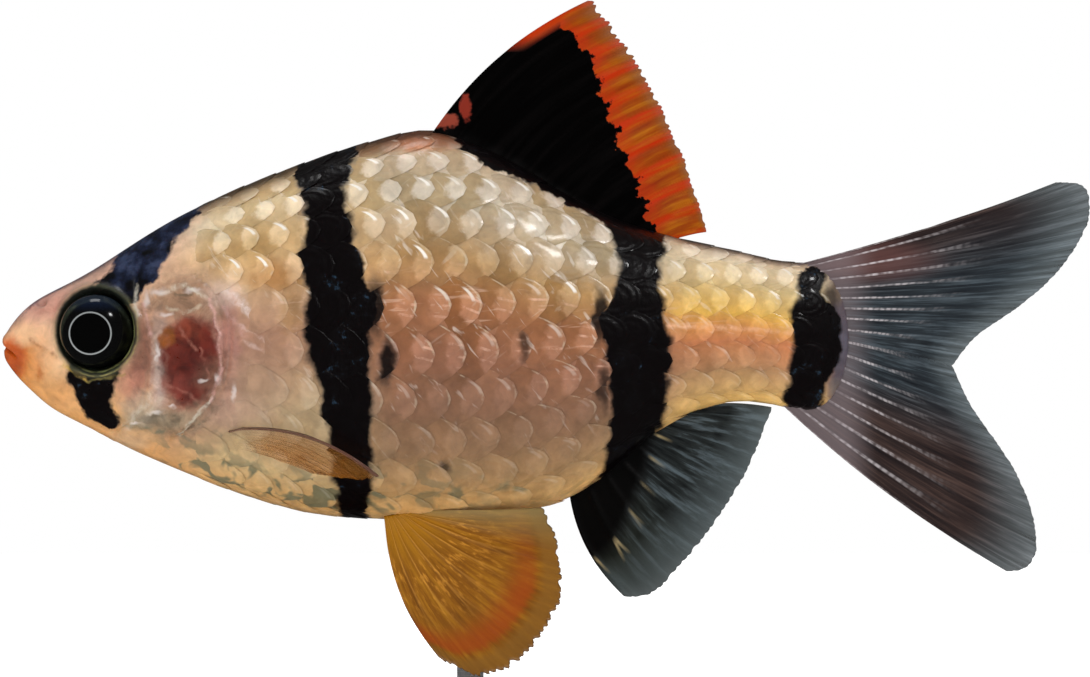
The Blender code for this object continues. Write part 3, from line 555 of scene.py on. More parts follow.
# Folds, bones and nerves that show as thin lines on the head and just behind it. The whitish arc over the
# top of the gill cover and the pinkish-white slanting streaks behind its top are painted highlights.
HEAD_LINES_AND_HIGHLIGHTS = (
    ((0.25, 0.9), (1.6, 2.3), 0.3, 0.7, "3E3458"), ((1.6, 2.3), (3.4, 3.35), 0.26, 0.75, "3E3458"),
    ((3.4, 3.35), (6.6, 5.2), 0.24, 0.8, "262A4C"), ((2.4, 1.8), (4.0, 2.5), 0.3, 0.4, "B0705E"),
    ((1.7, 0.1), (3.3, -0.9), 0.15, 0.6, "A0683E"), ((3.7, -1.3), (5.0, -2.3), 0.13, 0.6, "C9A23C"),
    ((5.0, -2.4), (7.4, -1.9), 0.1, 0.5, "8A7A34"), ((7.9, 1.4), (8.1, 3.3), 0.16, 0.6, "DDD3C0"),
    ((8.5, 2.3), (8.9, 0.2), 0.2, 0.5, "DEAEA6"), ((8.95, 0.2), (8.9, -2.6), 0.2, 0.5, "8A5A4C"),
    ((9.85, 0.4), (9.85, -3.0), 0.18, 0.5, "8A5A4C"), ((8.9, -3.2), (7.4, -5.1), 0.28, 0.4, "DDD3C0"),
    ((9.4, -3.4), (8.4, -4.9), 0.22, 0.35, "CFC0A8"),
    # The whitish arc on the next line is a painted highlight on the top of the gill cover.
    ((9.5, 2.9), (10.9, 3.45), 0.16, 0.65, "DDD3C0"), ((10.9, 3.45), (12.2, 2.7), 0.15, 0.6, "DDD3C0"),
    ((9.9, 2.1), (11.0, 1.75), 0.14, 0.55, "CFC0A8"), ((11.0, 1.75), (11.9, 2.25), 0.12, 0.5, "CFC0A8"),
    ((10.3, 2.9), (11.4, 2.8), 0.13, 0.6, "5E4E3C"), ((12.4, 2.6), (13.0, 0.6), 0.15, 0.65, "DEAEA6"),
    ((13.0, 0.6), (13.1, -2.0), 0.14, 0.7, "DEAEA6"), ((13.1, -2.0), (12.5, -3.5), 0.15, 0.6, "DEAEA6"),
    # The pinkish-white slanting streaks at the end of the next line and first on the one after are painted
    # highlights.
    ((12.7, 1.4), (12.95, -1.4), 0.1, 0.6, "7A3430"), ((12.5, 3.9), (15.3, 1.4), 0.3, 0.65, "EEDEDA"),
    ((13.6, 3.0), (15.6, 1.3), 0.16, 0.5, "EEDEDA"), ((13.3, 2.0), (14.6, 0.4), 0.22, 0.4, "DEAEA6"),
    ((12.5, -3.4), (10.6, -5.6), 0.13, 0.7, "DDD3C0"), ((12.1, -3.2), (10.0, -5.0), 0.22, 0.6, "5E4E3C"),
    ((12.9, -3.9), (11.4, -5.4), 0.2, 0.5, "5E4E3C"), ((7.4, -5.0), (9.6, -5.4), 0.16, 0.6, "5E6450"),
    ((8.6, -4.5), (10.4, -4.3), 0.14, 0.55, "5E4E3C"), ((10.6, -5.6), (12.6, -6.3), 0.16, 0.55, "5E6450"),
    ((11.8, -5.0), (15.2, -6.6), 0.14, 0.4, "5E6450"), ((10.6, 0.9), (11.6, -0.5), 0.14, 0.5, "B0705E"),
    ((9.9, -2.5), (12.0, -3.6), 0.14, 0.45, "B0705E"), ((11.9, -0.4), (12.4, -2.2), 0.1, 0.4, "B0705E"),
    ((14.2, 1.0), (18.0, -1.3), 0.13, 0.45, "DCBEB4"), ((14.4, 0.1), (18.2, -1.9), 0.12, 0.4, "DCBEB4"),
    ((14.6, -1.3), (17.6, -2.6), 0.1, 0.35, "DCBEB4"), ((15.6, 2.4), (18.0, 0.4), 0.14, 0.4, "DCBEB4"),
    ((15.4, -1.4), (15.6, -4.6), 0.2, 0.25, "9C7C5C"), ((16.6, -1.6), (16.7, -4.8), 0.2, 0.25, "9C7C5C"),
    ((14.4, -4.0), (17.4, -4.5), 0.16, 0.35, "DEAEA6"),
)
# All of them waver a little. The silver highlights are moved by up to twice this many millimetres.
SHIFTED = 0.35
shine = node("TexNoise", place, Scale=1.5, Detail=2.0, Roughness=0.5, out=1)
slight = node("VectorMath", shine, (0.6, 0.0, 0.6), operation="MULTIPLY")
slight = node("VectorMath", slight, (0.3, 0.0, 0.3), operation="SUBTRACT")
moved_little = node("VectorMath", place, slight, operation="ADD")
moved = node("VectorMath", shine, (2 * SHIFTED, 0.0, 2 * SHIFTED), place, operation="MULTIPLY_ADD")
silver_highlight = None
for x, z, wide, high in SILVER_HIGHLIGHTS:
    far = from_oval(node, moved, (x + SHIFTED, z + SHIFTED), (wide, high))[0]
    silver_highlight = united(node, silver_highlight, node("MapRange", far, 1.7, 0.2, **SMOOTH))
colour = lay(node, colour, "E2D8D4", silver_highlight, 0.6)
colour = stroked(node, colour, moved_little, HEAD_LINES_AND_HIGHLIGHTS)
# The eye's rim is dark, with a gold-green arc along its lower rear edge.
away = node("Mix", 0.3, at={4: place, 5: moved_little}, data_type="VECTOR", out=1)
far, scaled = from_oval(node, away, SOCKET[:2], SOCKET[2:])
lower_rear = node("VectorMath", scaled, (0.72, 0.0, -0.62), operation="DOT_PRODUCT", out=1)
lower_rear = node("MapRange", lower_rear, 0.1, 0.9)
broken_up = node("TexNoise", place, Scale=1.3, Detail=4.0, Roughness=0.6)
broken_up = node("MapRange", broken_up, 0.4, 0.6, 0.15, 1.0)
gold = node("Math", lower_rear, broken_up, operation="MULTIPLY")
for outer, inner, strength, hue in (
    (1.22, 1.06, 0.5, "6A6A4A"), (1.13, 1.02, 0.95, "22261C"), (1.06, 1.0, 0.9, "12140E"),
):
    ring = node("MapRange", far, outer, inner, 0.0, strength, **SMOOTH)
    colour = lay(node, colour, hue, ring)
for middle, half, strength, hue in ((1.0, 0.035, 0.85, "8E905A"), (1.1, 0.03, 0.7, "A89C5A")):
    off = off_from(node, far, middle)
    ring = node("MapRange", off, half, half * 0.2, 0.0, strength, **SMOOTH)
    colour = lay(node, colour, hue, ring, gold)

# Fine grain of the naked skin, about 0.25 mm, with the weave of the flesh under it.
grain = node("TexNoise", place, Scale=4.0, Detail=5.0, Roughness=0.65)
rough = node("MapRange", grain, 0.3, 0.7, 0.26, 0.46)
bump = node("Bump", 0.4, 0.00006, at={3: grain})
fill(shader, {"Base Color": colour, "Roughness": rough, "Normal": bump})
skin.data.materials.append(wet_skin)
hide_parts("head", "gill_cover_left", "gill_cover_right", "trunk", "tail_stalk")

# The scales
# Thin horny plates, each rooted in a pocket of the skin and lying over the next one
# behind it like a tile. They follow the lateral line in rows that close up towards the
# tail, and the plates behind the gills and along the belly show least.

LATERAL_LINE = ((13.0, -0.3), (24.0, -0.8), (30.0, -0.5), (35.0, 0.3), (40.5, 0.75), (50.0, 0.7))
ROW_SPACING = ((11.0, 2.3), (13.0, 2.4), (24.0, 2.95), (32.0, 2.75), (40.0, 1.95), (50.0, 1.65))
SCALE_PITCH = ((10.0, 1.6), (14.0, 1.75), (21.0, 1.95), (32.0, 1.95), (40.0, 1.7), (50.0, 1.45))
ABOVE_CLOSING, BELOW_CLOSING, BELOW_SHARE = 0.045, 0.03, 0.93
SCALE_SIDES, SCALE_RINGS = 16, 6
SCALE_LENGTH, SCALE_HEIGHT = 0.98, 0.66
SCALE_MIDDLE, SCALE_FRONT_SINK, SCALE_REAR_RISE = -0.095, 0.11, 0.04
SCALE_THICKNESS, SCALE_DOME = 0.012, 0.022
SIZE_SPREAD, TILT_SPREAD, TWIST_SPREAD = (0.96, 1.04), 0.05, 0.06
RIM_POWER = 2.1
# How much of a plate's own level its points share, and its size on the bake's map.
CELL_SHARE, PATCH = 0.2, 0.003
ARC_STEP = 0.5
TURN_STEPS = 90
SCALES_START, SCALES_END, LAST_CENTRE = 9.6, 49.6, 48.7
NAPE_START, NAPE_HEIGHT, COVER_HEIGHT = 10.6, 4.6, 3.4
SIDE_ROWS = range(-6, 9)
BACK_SPANS, BELLY_SPANS = ((12.6, 24.6), (40.4, 48.0)), ((13.0, 33.0), (44.6, 48.0))


@functools.lru_cache(maxsize=None)
def arcs(station):
    """Distance round the surface from the back ridge at each of TURN_STEPS angles, the
    distance of the lateral line and the row spacing, at one station along the body."""
    x = station * ARC_STEP
    found = [0.0]
    line_height = smooth_curve(LATERAL_LINE, x)
    before = body_point(x, 0.0)
    line = None
    for i in range(1, TURN_STEPS + 1):
        point = body_point(x, math.pi * i / TURN_STEPS)
        found.append(found[-1] + math.dist(before, point))
        if line is None and point[2] <= line_height:
            share = (before[2] - line_height) / max(before[2] - point[2], 1e-6)
            line = found[-2] + share * (found[-1] - found[-2])
        before = point
    return found, line if line is not None else found[-1], smooth_curve(ROW_SPACING, x)


def row_turn_at(station, row, kind):
    """The angle round from the back ridge of a row, at one station. Rows are counted from
    the lateral line, or from the middle of the back or of the belly."""
    found, line, spacing = arcs(station)
    if kind == "back":
        arc = spacing * row
    elif kind == "belly":
        arc = found[-1] - spacing * row
    elif row > 0:
        arc = line - spacing * row * (1 - ABOVE_CLOSING * (row - 1))
    else:
        arc = line + BELOW_SHARE * spacing * -row * (1 - BELOW_CLOSING * (-row - 1))
    mirrored = 1.0
    total = found[-1]
    if arc < 0:
        arc, mirrored = -arc, -1.0
    past_belly = arc > total
    if past_belly:
        arc = 2 * total - arc
    low, high = 0, TURN_STEPS
    while high - low > 1:
        middle = (low + high) // 2
        if found[middle] <= arc:
            low = middle
        else:
            high = middle
    share = (arc - found[low]) / max(found[low + 1] - found[low], 1e-9)
    turn = math.pi * (low + share) / TURN_STEPS
    return (2 * math.pi - turn) if past_belly else mirrored * turn


def row_turn(x, row, kind="side"):
    """The angle of a row at any distance, between the two nearest stations."""
    station = int(x / ARC_STEP)
    share = x / ARC_STEP - station
    return row_turn_at(station, row, kind) * (1 - share) + row_turn_at(station + 1, row, kind) * share


def gill_edge(z):
    """How far back the first scales are centred, behind the nape and the gill cover."""
    if z > NAPE_HEIGHT:
        return NAPE_START + 0.3 * (z - NAPE_HEIGHT)
    if z > COVER_HEIGHT:
        return NAPE_START + 3.4 * (NAPE_HEIGHT - z) / 1.2
    return smooth_curve(COVER_EDGE, z) + 1.9 if z > -5.5 else 12.0


def shown_at(x, z):
    """How strongly the scales show: least behind the gill cover and low on the belly."""
    behind = x - gill_edge(z)
    low_flank = 0.3 + 0.7 * ease((z + 7.0) / 9.0)
    by_gills = ease((behind + 0.3) / 5.5)
    by_nape = ease((behind + 0.6) / 2.6)
    upper = ease((z - 1.5) / 3.0)
    stalk = 1 - 0.45 * ease((x - 37.0) / 4.0)
    return low_flank * stalk * (by_gills * (1 - upper) + by_nape * upper)


def lens(bm, place_at):
    """One flat plate with a rounded rim and a plain underside, set where place_at says.
    Its own directions run back, round the fish and out."""
    made = bmesh.ops.create_uvsphere(bm, u_segments=SCALE_SIDES, v_segments=SCALE_RINGS, radius=1.0)["verts"]
    bmesh.ops.delete(bm, geom=[vert for vert in made if vert.co.z < -0.1], context="VERTS")
    made = [vert for vert in made if vert.is_valid]
    rim = [edge for edge in {e for v in made for e in v.link_edges} if edge.is_boundary]
    for edge in rim:
        edge.smooth = False
    bmesh.ops.edgeloop_fill(bm, edges=rim)
    for vert in made:
        a, b, c = vert.co
        out = math.hypot(a, b)
        if 0.6 < out < 0.95:
            a, b = a * 0.94 / out, b * 0.94 / out
        place_at(vert, a, b, 1.0 if c > 0.1 else 0.0)
    return made


random.seed(7)
stations = [SCALES_START]
while stations[-1] < SCALES_END:
    stations.append(stations[-1] + smooth_curve(SCALE_PITCH, stations[-1]))


def scale_rows(side):
    """Places of the scales of one side: distance, row, side and kind, row by row, each row from the front
    backwards."""
    found = []
    for row in SIDE_ROWS:
        for i in range(len(stations) - 1):
            x = stations[i] if row % 2 == 0 else (stations[i] + stations[i + 1]) / 2
            turn = row_turn(min(x, 49.4), row)
            if not 0.0 < turn < math.pi:
                continue
            found_arcs, _, spacing = arcs(int(x / ARC_STEP))
            arc = found_arcs[min(int(turn / math.pi * TURN_STEPS), TURN_STEPS)]
            if arc < 0.3 * spacing or arc > found_arcs[-1] - 0.25 * spacing:
                continue
            z = body_point(x, turn)[2]
            if x < gill_edge(z) or x > LAST_CENTRE:
                continue
            found.append((x, row, side, "side"))
    return found


def middle_rows():
    """Places of the scales that lie across the ridge of the back, ahead of and behind
    the dorsal fin, and across the belly."""
    found = []
    for kind, spans in (("back", BACK_SPANS), ("belly", BELLY_SPANS)):
        for first, last in spans:
            found += [(x, 0, 1, kind) for x in stations if first < x < last]
    return found


def scale_piece(name, places):
    """All the scales of one side as one joined mesh."""
    bm = bmesh.new()
    rim_layer = bm.verts.layers.float_vector.new("cell")
    root_layer = bm.verts.layers.float_vector.new("root")
    lot_layer = bm.verts.layers.float_vector.new("lot")
    shown_layer = bm.verts.layers.float.new("shown")
    level_layer = bm.verts.layers.float.new("level")
    patch = bm.loops.layers.uv.new("OFBake")
    for x0, row, side, kind in places:
        long = SCALE_LENGTH * smooth_curve(SCALE_PITCH, x0) * random.uniform(*SIZE_SPREAD)
        tall = SCALE_HEIGHT * random.uniform(*SIZE_SPREAD)
        tilt = random.uniform(-TILT_SPREAD, TILT_SPREAD)
        twist = random.uniform(-TWIST_SPREAD, TWIST_SPREAD)
        lot = (random.random(), random.random(), random.random())
        z0 = body_point(x0, row_turn(x0, row, kind))[2]
        shown = shown_at(x0, z0)
        centre_x = min(x0 + 0.5 * long, BODY_LENGTH - 0.1)
        cell_turn = row_turn(centre_x, row, kind)
        _, cell_y, cell_z = body_point(centre_x, cell_turn)
        cell_level = level_at(centre_x, cell_z)

        def place_at(vert, a, b, c):
            if a > 0:
                a *= (1 - abs(b) ** RIM_POWER) / max(math.sqrt(max(1 - b * b, 0.0)), 0.02)
            along, across = a + twist * b, b - twist * a
            x = round(min(max(x0 + along * long, 0.2), BODY_LENGTH - 0.05), 2)
            turn = row_turn(x, row + across * tall, kind)
            rise = SCALE_MIDDLE + a * (SCALE_REAR_RISE if a > 0 else SCALE_FRONT_SINK)
            rise += SCALE_DOME * shown * (1 - b * b) * (0.5 + 0.5 * a) + tilt * b * shown
            rise += c * SCALE_THICKNESS
            bx, by, bz = body_point(x, turn)
            ahead = Vector(body_point(min(round(x + 0.1, 2), 50.69), turn)) - Vector((bx, by, bz))
            round_it = Vector(body_point(x, turn + 0.02)) - Vector((bx, by, bz))
            out = round_it.cross(ahead).normalized()
            if out.y * by + out.z * (bz - section(x)[2]) < 0:
                out = -out
            spot = Vector((bx, by, bz)) + out * rise
            vert.co = placed(spot.x, side * spot.y, spot.z)
            vert[rim_layer] = (a, b, c)
            vert[root_layer] = (centre_x, side * cell_y, cell_z)
            vert[lot_layer] = lot
            vert[shown_layer] = shown_at(x, spot.z)
            vert[level_layer] = cell_level * CELL_SHARE + level_at(x, spot.z) * (1 - CELL_SHARE)

        made = lens(bm, place_at)
        root_u = x0 / BODY_LENGTH
        root_v = 0.5 + side * row_turn(x0, row, kind) / (2 * math.pi)
        for face in {f for v in made for f in v.link_faces}:
            for loop in face.loops:
                a, b, _ = loop.vert[rim_layer]
                loop[patch].uv = (root_u + a * PATCH / 2, root_v + b * PATCH / 2)
    bmesh.ops.recalc_face_normals(bm, faces=bm.faces)
    return to_piece(bm, name)


def waves(node, value, count):
    """The sine of a value times a count, for rings and joints."""
    return node("Math", node("Math", value, count, operation="MULTIPLY"), operation="SINE")


# Scale plates: clear horn with a silvery lining, so they are lighter and glossier than the skin, with
# painted shade in the pocket ahead of each plate and a painted highlight along part of the rim.
plate, node, shader = finish_named("fish_scale_horn", Roughness=0.3, Coat_Weight=0.6, Coat_Roughness=0.1,
                                   Subsurface_Weight=0.06, Subsurface_Scale=0.0005)
place = drawing_place(node)
root = node("Attribute", attribute_name="root", out=1)
cell = node("Attribute", attribute_name="cell", out=1)
lot = node("Attribute", attribute_name="lot", out=1)
level = node("Attribute", attribute_name="level", out=2)
between = node("Mix", at={1: (0.14, 0.14, 0.14), 4: place, 5: root}, data_type="VECTOR",
               factor_mode="NON_UNIFORM", out=1)
colour, black = markings(node, between, level, SCALE_BAR_SOFTNESS)

parts = node("SeparateXYZ", cell, out=None)
chances = node("SeparateXYZ", lot, out=None)
across = node("Math", parts[1], parts[1], operation="MULTIPLY")
rim_at = node("Math", 1.0, across, operation="SUBTRACT", use_clamp=True)
from_rim = node("Math", parts[0], rim_at, operation="SUBTRACT")
shown = node("Attribute", attribute_name="shown", out=2)
pale = node("Math", 1.0, black, operation="SUBTRACT")
shown = held(node, shown, pale)

# What shows of a plate is a tall leaf, pale and pointed above and below, with a golden brown pocket ahead of
# it, darkened by painted shade just behind the rim of the plate in front. The leaf's middle and half sizes
# are in shares of the plate.
LEAF_MIDDLE, LEAF_LONG, LEAF_TALL = 0.68, 0.4, 0.86
off = off_from(node, parts[0], LEAF_MIDDLE)
off = node("Math", off, LEAF_LONG, operation="DIVIDE")
tall = node("Math", across, LEAF_TALL ** 2, operation="DIVIDE")
leaf = node("Math", off, tall, operation="ADD")
waver = node("TexNoise", place, Scale=1.5, Detail=3.0, Roughness=0.6)
waver = node("MapRange", waver, 0.3, 0.7, -0.3, 0.3)
leaf = node("Math", leaf, waver, operation="ADD")
pocket_shade = node("MapRange", leaf, 0.6, 1.2, **SMOOTH)
depth = node("MapRange", chances[1], 0.0, 1.0, 0.55, 1.0)
pocket_shade = held(node, pocket_shade, depth)
tint = node("Mix", pocket_shade, at={4: (1.14, 1.15, 1.22), 5: (0.68, 0.58, 0.4)}, data_type="VECTOR", out=1)
tint = node("Mix", shown, at={4: (1.0, 1.0, 1.0), 5: tint}, data_type="VECTOR", out=1)
colour = node("VectorMath", colour, tint, operation="MULTIPLY")

# A broken painted highlight along the rim, and bright wet glints painted on the upper rear of the plates of
# the back: where across the plate, how far in from the rim, and how strong.
broken = node("MapRange", waver, -0.1, 0.2)
rim_highlight = held(node, broken, 0.5)
bright = node("MapRange", level, 0.5, 0.66, 0.25, 1.0)
lit = node("MapRange", chances[0], 0.2, 0.45)
lit = held(node, lit, bright)
inward = node("MapRange", chances[2], 0.0, 1.0, -0.08, -0.3)
for strength, low, high, near, half, hue in (
    (rim_highlight, -0.3, 0.95, -0.06, 0.06, "E4D2B6"), (lit, 0.08, 0.66, inward, 0.09, "FFF4E8"),
):
    off = off_from(node, from_rim, near)
    drawn = node("MapRange", off, half, half * 0.3, **SMOOTH)
    rising = node("MapRange", parts[1], low, low + 0.14, **SMOOTH)
    falling = node("MapRange", parts[1], high, high - 0.14, **SMOOTH)
    colour = lay(node, colour, hue, drawn, strength, rising, falling, shown)

# Two or three level lines cross each plate of the lateral line and of the row above it: the plate's ridges,
# with their glints painted in pink.
sloping = node("MapRange", chances[1], 0.0, 1.0, 0.1, 0.42)
sloping = node("Math", sloping, parts[0], operation="MULTIPLY")
across_it = node("Math", parts[1], sloping, operation="ADD")
across_it = node("Math", across_it, 17.0, operation="MULTIPLY")
started = node("Math", chances[2], 6.3, operation="MULTIPLY")
across_it = node("Math", across_it, started, operation="ADD")
drawn = node("Math", across_it, operation="SINE")
drawn = node("MapRange", drawn, 0.55, 0.95, 0.0, 0.6, **SMOOTH)
off = off_from(node, level, 0.52)
near = node("MapRange", off, 0.16, 0.1)
middle = node("MapRange", parts[1], 0.5, 0.3)
inside = node("MapRange", leaf, 0.95, 0.7)
low_cut = node("MapRange", parts[1], -0.55, -0.35)
colour = lay(node, colour, "EDBBA2", drawn, near, middle, inside, low_cut, broken, shown)

# Short pale lines under the wet film, painted glints: level ones along the lateral line and the row above
# it, slanting ones all over the flank. Each has its slant, its scales along and across the line, its
# threshold, strength, hue and the level it keeps to.
for slant, coarse, fine, least, strength, hue, middle, spread in (
    (4.0, 0.5, 3.6, 0.61, 0.35, "E6BFA6", 0.57, 0.09), (-52.0, 0.6, 2.6, 0.64, 0.4, "F2E6DA", 0.6, 0.62),
    (40.0, 0.6, 2.8, 0.67, 0.22, "E8DCCB", 0.8, 0.5),
):
    turned = node("VectorRotate", place, at={3: math.radians(slant)}, rotation_type="Y_AXIS")
    drawn = node("VectorMath", turned, (coarse, 0.1, fine), operation="MULTIPLY")
    drawn = node("TexNoise", drawn, Scale=1.0, Detail=2.0, Roughness=0.5, Distortion=0.5)
    drawn = node("MapRange", drawn, least, least + 0.09, 0.0, strength)
    nearby = off_from(node, level, middle)
    nearby = node("MapRange", nearby, spread, spread * 0.5)
    colour = lay(node, colour, hue, drawn, nearby, shown)
# A pale line runs along the middle of the stalk.
colour = stroked(node, colour, place, (((39.9, 1.0), (43.6, 0.85), 0.2, 0.6, "F6BE98"),
                                       ((43.6, 0.85), (47.2, 0.6), 0.17, 0.6, "F0B48E")))
tone = node("MapRange", chances[2], 0.0, 1.0, 0.93, 1.07)
tone = node("Mix", shown, at={2: 1.0, 3: tone})
colour = node("VectorMath", colour, at={3: tone}, operation="SCALE")

# Growth rings, coarser than the real 0.05 mm so that they show, made uneven by noise.
reach = node("VectorMath", cell, operation="LENGTH", out=1)
rings = waves(node, reach, 44.0)
waver = node("TexNoise", place, Scale=2.2, Detail=4.0, Roughness=0.6)
waver = node("Math", waver, 7.0, operation="MULTIPLY")
height = node("Math", rings, waver, operation="ADD")
bump = node("Bump", 0.3, 0.00002, at={3: height})
fill(shader, {"Base Color": colour, "Normal": bump})

for word, places in (("left", scale_rows(-1)), ("right", scale_rows(1)), ("middle", middle_rows())):
    coat = scale_piece(f"scales_{word}", places)
    coat.data.materials.append(plate)

# The eyes
# Round and lidless, set in a dark rim of skin: a clear front over a black iris, with a thin silvery ring
# round the pupil and a painted blue sheen above it.

EYE_RADIUS, EYE_DEPTH, EYE_SINK = 2.2, 1.35, 0.75
PUPIL = (5.28, 0.54, 1.22)
IRIS = (5.6, 0.4, 2.04)
EYE_SIDES, EYE_RINGS = 64, 40
SIDES = (("left", -1), ("right", 1))

eyeball, node, shader = finish_named("clear_eye_over_black_iris", Roughness=0.12, Coat_Weight=0.4,
                                     Coat_Roughness=0.06, IOR=1.38)
place = drawing_place(node)
colour = node("TexNoise", place, Scale=1.4, Detail=4.0)
colour = node("ValToRGB", colour, stops=((0.35, "1E2118"), (0.6, "30352A"), (0.75, "4A4C38")))
flat = node("VectorMath", place, (1.0, 0.0, 1.0), operation="MULTIPLY")
for x, z, inner, outer, strength, hue in (
    (IRIS[0], IRIS[1], IRIS[2] + 0.1, IRIS[2] - 0.08, 1.0, "060606"),
    (PUPIL[0], PUPIL[1], PUPIL[2] + 0.1, PUPIL[2] + 0.04, 0.8, "A8ACAC"),
    (PUPIL[0], PUPIL[1], PUPIL[2] + 0.02, PUPIL[2] - 0.04, 1.0, "010101"),
):
    away = node("VectorMath", flat, (x, 0.0, z), operation="DISTANCE", out=1)
    share = node("MapRange", away, inner, outer, 0.0, strength, **SMOOTH)
    colour = lay(node, colour, hue, share)
# A painted blue sheen over the top of the eye.
up = node("SeparateXYZ", place, out=2)
blue = node("MapRange", up, 1.7, 2.6, 0.0, 0.6, **SMOOTH)
colour = lay(node, colour, "16223A", blue)
fill(shader, {"Base Color": colour})

for word, side in SIDES:
    bm = bmesh.new()
    bmesh.ops.create_uvsphere(bm, u_segments=EYE_SIDES, v_segments=EYE_RINGS, radius=1.0)
    surface = section(EYE_X)[3] - EYE_SINK
    for vert in bm.verts:
        a, b, c = vert.co
        vert.co = placed(EYE_X + a * EYE_RADIUS, side * (surface + c * EYE_DEPTH), EYE_Z + b * EYE_RADIUS)
    bmesh.ops.recalc_face_normals(bm, faces=bm.faces)
    eye = to_piece(bm, f"eyeball_{word}")
    eye.data.materials.append(eyeball)
    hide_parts(f"eye_{word}")

# The dorsal fin
# A thin membrane between soft rays that fork towards the margin, rooted in the ridge of
# the back. Black, with an orange-red band along the rear margin.

RAY_COLUMNS = 14
RAY_NUMBERS = 20
RAY_JOINTS = 210.0
MEMBRANE_THICKNESS, RAY_THICKNESS, ROOT_THICKNESS = 0.14, 0.34, 1.0
FORK_FIRST, FORK_SECOND = 0.42, 0.74
FORK_SPREAD, TWIG_SPREAD = 0.21, 0.1
FIN_WAVE, FOOT_END = 0.1, 0.1


def bent(start, end, bow, v):
    """A point along a ray from its root to its tip, bowed to one side."""
    a, b = Vector(start), Vector(end)
    across = Vector((-(b - a).y, (b - a).x)).normalized()
    middle = (a + b) / 2 + across * 2 * bow
    return a * (1 - v) ** 2 + middle * 2 * v * (1 - v) + b * v ** 2


def along_line(knots, u):
    """A point at share u of the way along a line of knots."""
    spans = [0.0]
    for a, b in zip(knots, knots[1:]):
        spans.append(spans[-1] + math.dist(a, b))
    at = u * spans[-1]
    return (smooth_curve(tuple((s, k[0]) for s, k in zip(spans, knots)), at),
            smooth_curve(tuple((s, k[1]) for s, k in zip(spans, knots)), at))


def crest_at(off, v):
    """How high a ray stands at a distance from its middle, in shares of the gap between
    rays: one ridge that forks twice towards the margin."""
    first = FORK_SPREAD * ease((v - FORK_FIRST) / 0.4)
    second = TWIG_SPREAD * ease((v - FORK_SECOND) / 0.26)
    width = 0.15 - 0.07 * v
    return max(swell(off - fork * first - twig * second, width) for fork in (-1, 1) for twig in (-1, 1))


def rayed_sheet(bm, root, margin, bows, rays, rows, lift=None, ragged=0.012, first_ray=0):
    """Adds one sheet of rays and membrane to a bmesh, with each point's place across and
    along the fin, its ray's number and how high the ray stands there."""
    span = bm.verts.layers.float_vector["span"]
    ridge = bm.verts.layers.float["ridge"]
    thick = bm.verts.layers.float["thick"]
    map_layer = bm.loops.layers.uv["OFBake"]
    columns = RAY_COLUMNS * (rays - 1)
    made = bmesh.ops.create_grid(bm, x_segments=columns, y_segments=rows, size=1.0)["verts"]
    for vert in made:
        u, v = (vert.co.x + 1) / 2, (vert.co.y + 1) / 2
        ray = u * (rays - 1)
        number = round(ray)
        crest = crest_at(ray - number, v)
        tip = crest_at(ray - number, 1.0)
        jag = noise.noise(Vector((first_ray + ray * 1.3, 3.1, 0.7)))
        jag += 0.5 * noise.noise(Vector((ray * 5, 1.7, 0.0)))
        reach = v * (1 - (ragged * (1 - tip) + ragged * jag) * v ** 3)
        x, z = bent(along_line(root, u), along_line(margin, u), bows[0] + (bows[1] - bows[0]) * u, reach)
        y = lift(x, z, u, reach) if lift else 0.0
        y += FIN_WAVE * v * math.sin(2.1 * ray + 1.3) * (1 - crest * 0.5)
        vert.co = placed(x, y, z)
        vert[span] = (u, v, (first_ray + number) / RAY_NUMBERS)
        vert[ridge] = crest
        thin = 1 - 0.5 * v
        foot = ease(1 - v / FOOT_END)
        size = MEMBRANE_THICKNESS * thin + (RAY_THICKNESS - MEMBRANE_THICKNESS) * crest * (1 - 0.6 * v)
        vert[thick] = (size + (ROOT_THICKNESS - size) * foot * 0.6) / ROOT_THICKNESS
    for face in {f for v in made for f in v.link_faces}:
        for loop in face.loops:
            u, v, _ = loop.vert[span]
            loop[map_layer].uv = ((first_ray + u * rays) / RAY_NUMBERS, v)
    return made


def new_fin():
    """An empty bmesh with what a fin's points carry."""
    bm = bmesh.new()
    bm.verts.layers.float_vector.new("span")
    bm.verts.layers.float.new("ridge")
    bm.verts.layers.float.new("thick")
    bm.loops.layers.uv.new("OFBake")
    return bm


def fin_piece(bm, name, finish, slot, *nodes):
    """A fin's sheet as a piece with real thickness, in place of the fin's solids."""
    bmesh.ops.recalc_face_normals(bm, faces=bm.faces)
    bm.verts.index_update()
    layer = bm.verts.layers.float["thick"]
    weights = [vert[layer] for vert in bm.verts]
    piece = to_piece(bm, name)
    group = piece.vertex_groups.new(name="thickness")
    for index, weight in enumerate(weights):
        group.add([index], weight, "REPLACE")
    shell = piece.modifiers.new("thickness", "SOLIDIFY")
    shell.thickness = ROOT_THICKNESS * MM
    shell.offset = 0.0
    shell.vertex_group = group.name
    piece.data.materials.append(finish)
    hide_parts(*nodes)
    return piece


def edge_of_body(first, last, steps, upper, sink):
    """A fin's root along the back or belly, sunk into the flesh."""
    root = []
    for i in range(steps + 1):
        x = first + (last - first) * i / steps
        top, bottom = section(x)[:2]
        root.append((x, top - sink if upper else bottom + sink))
    return root


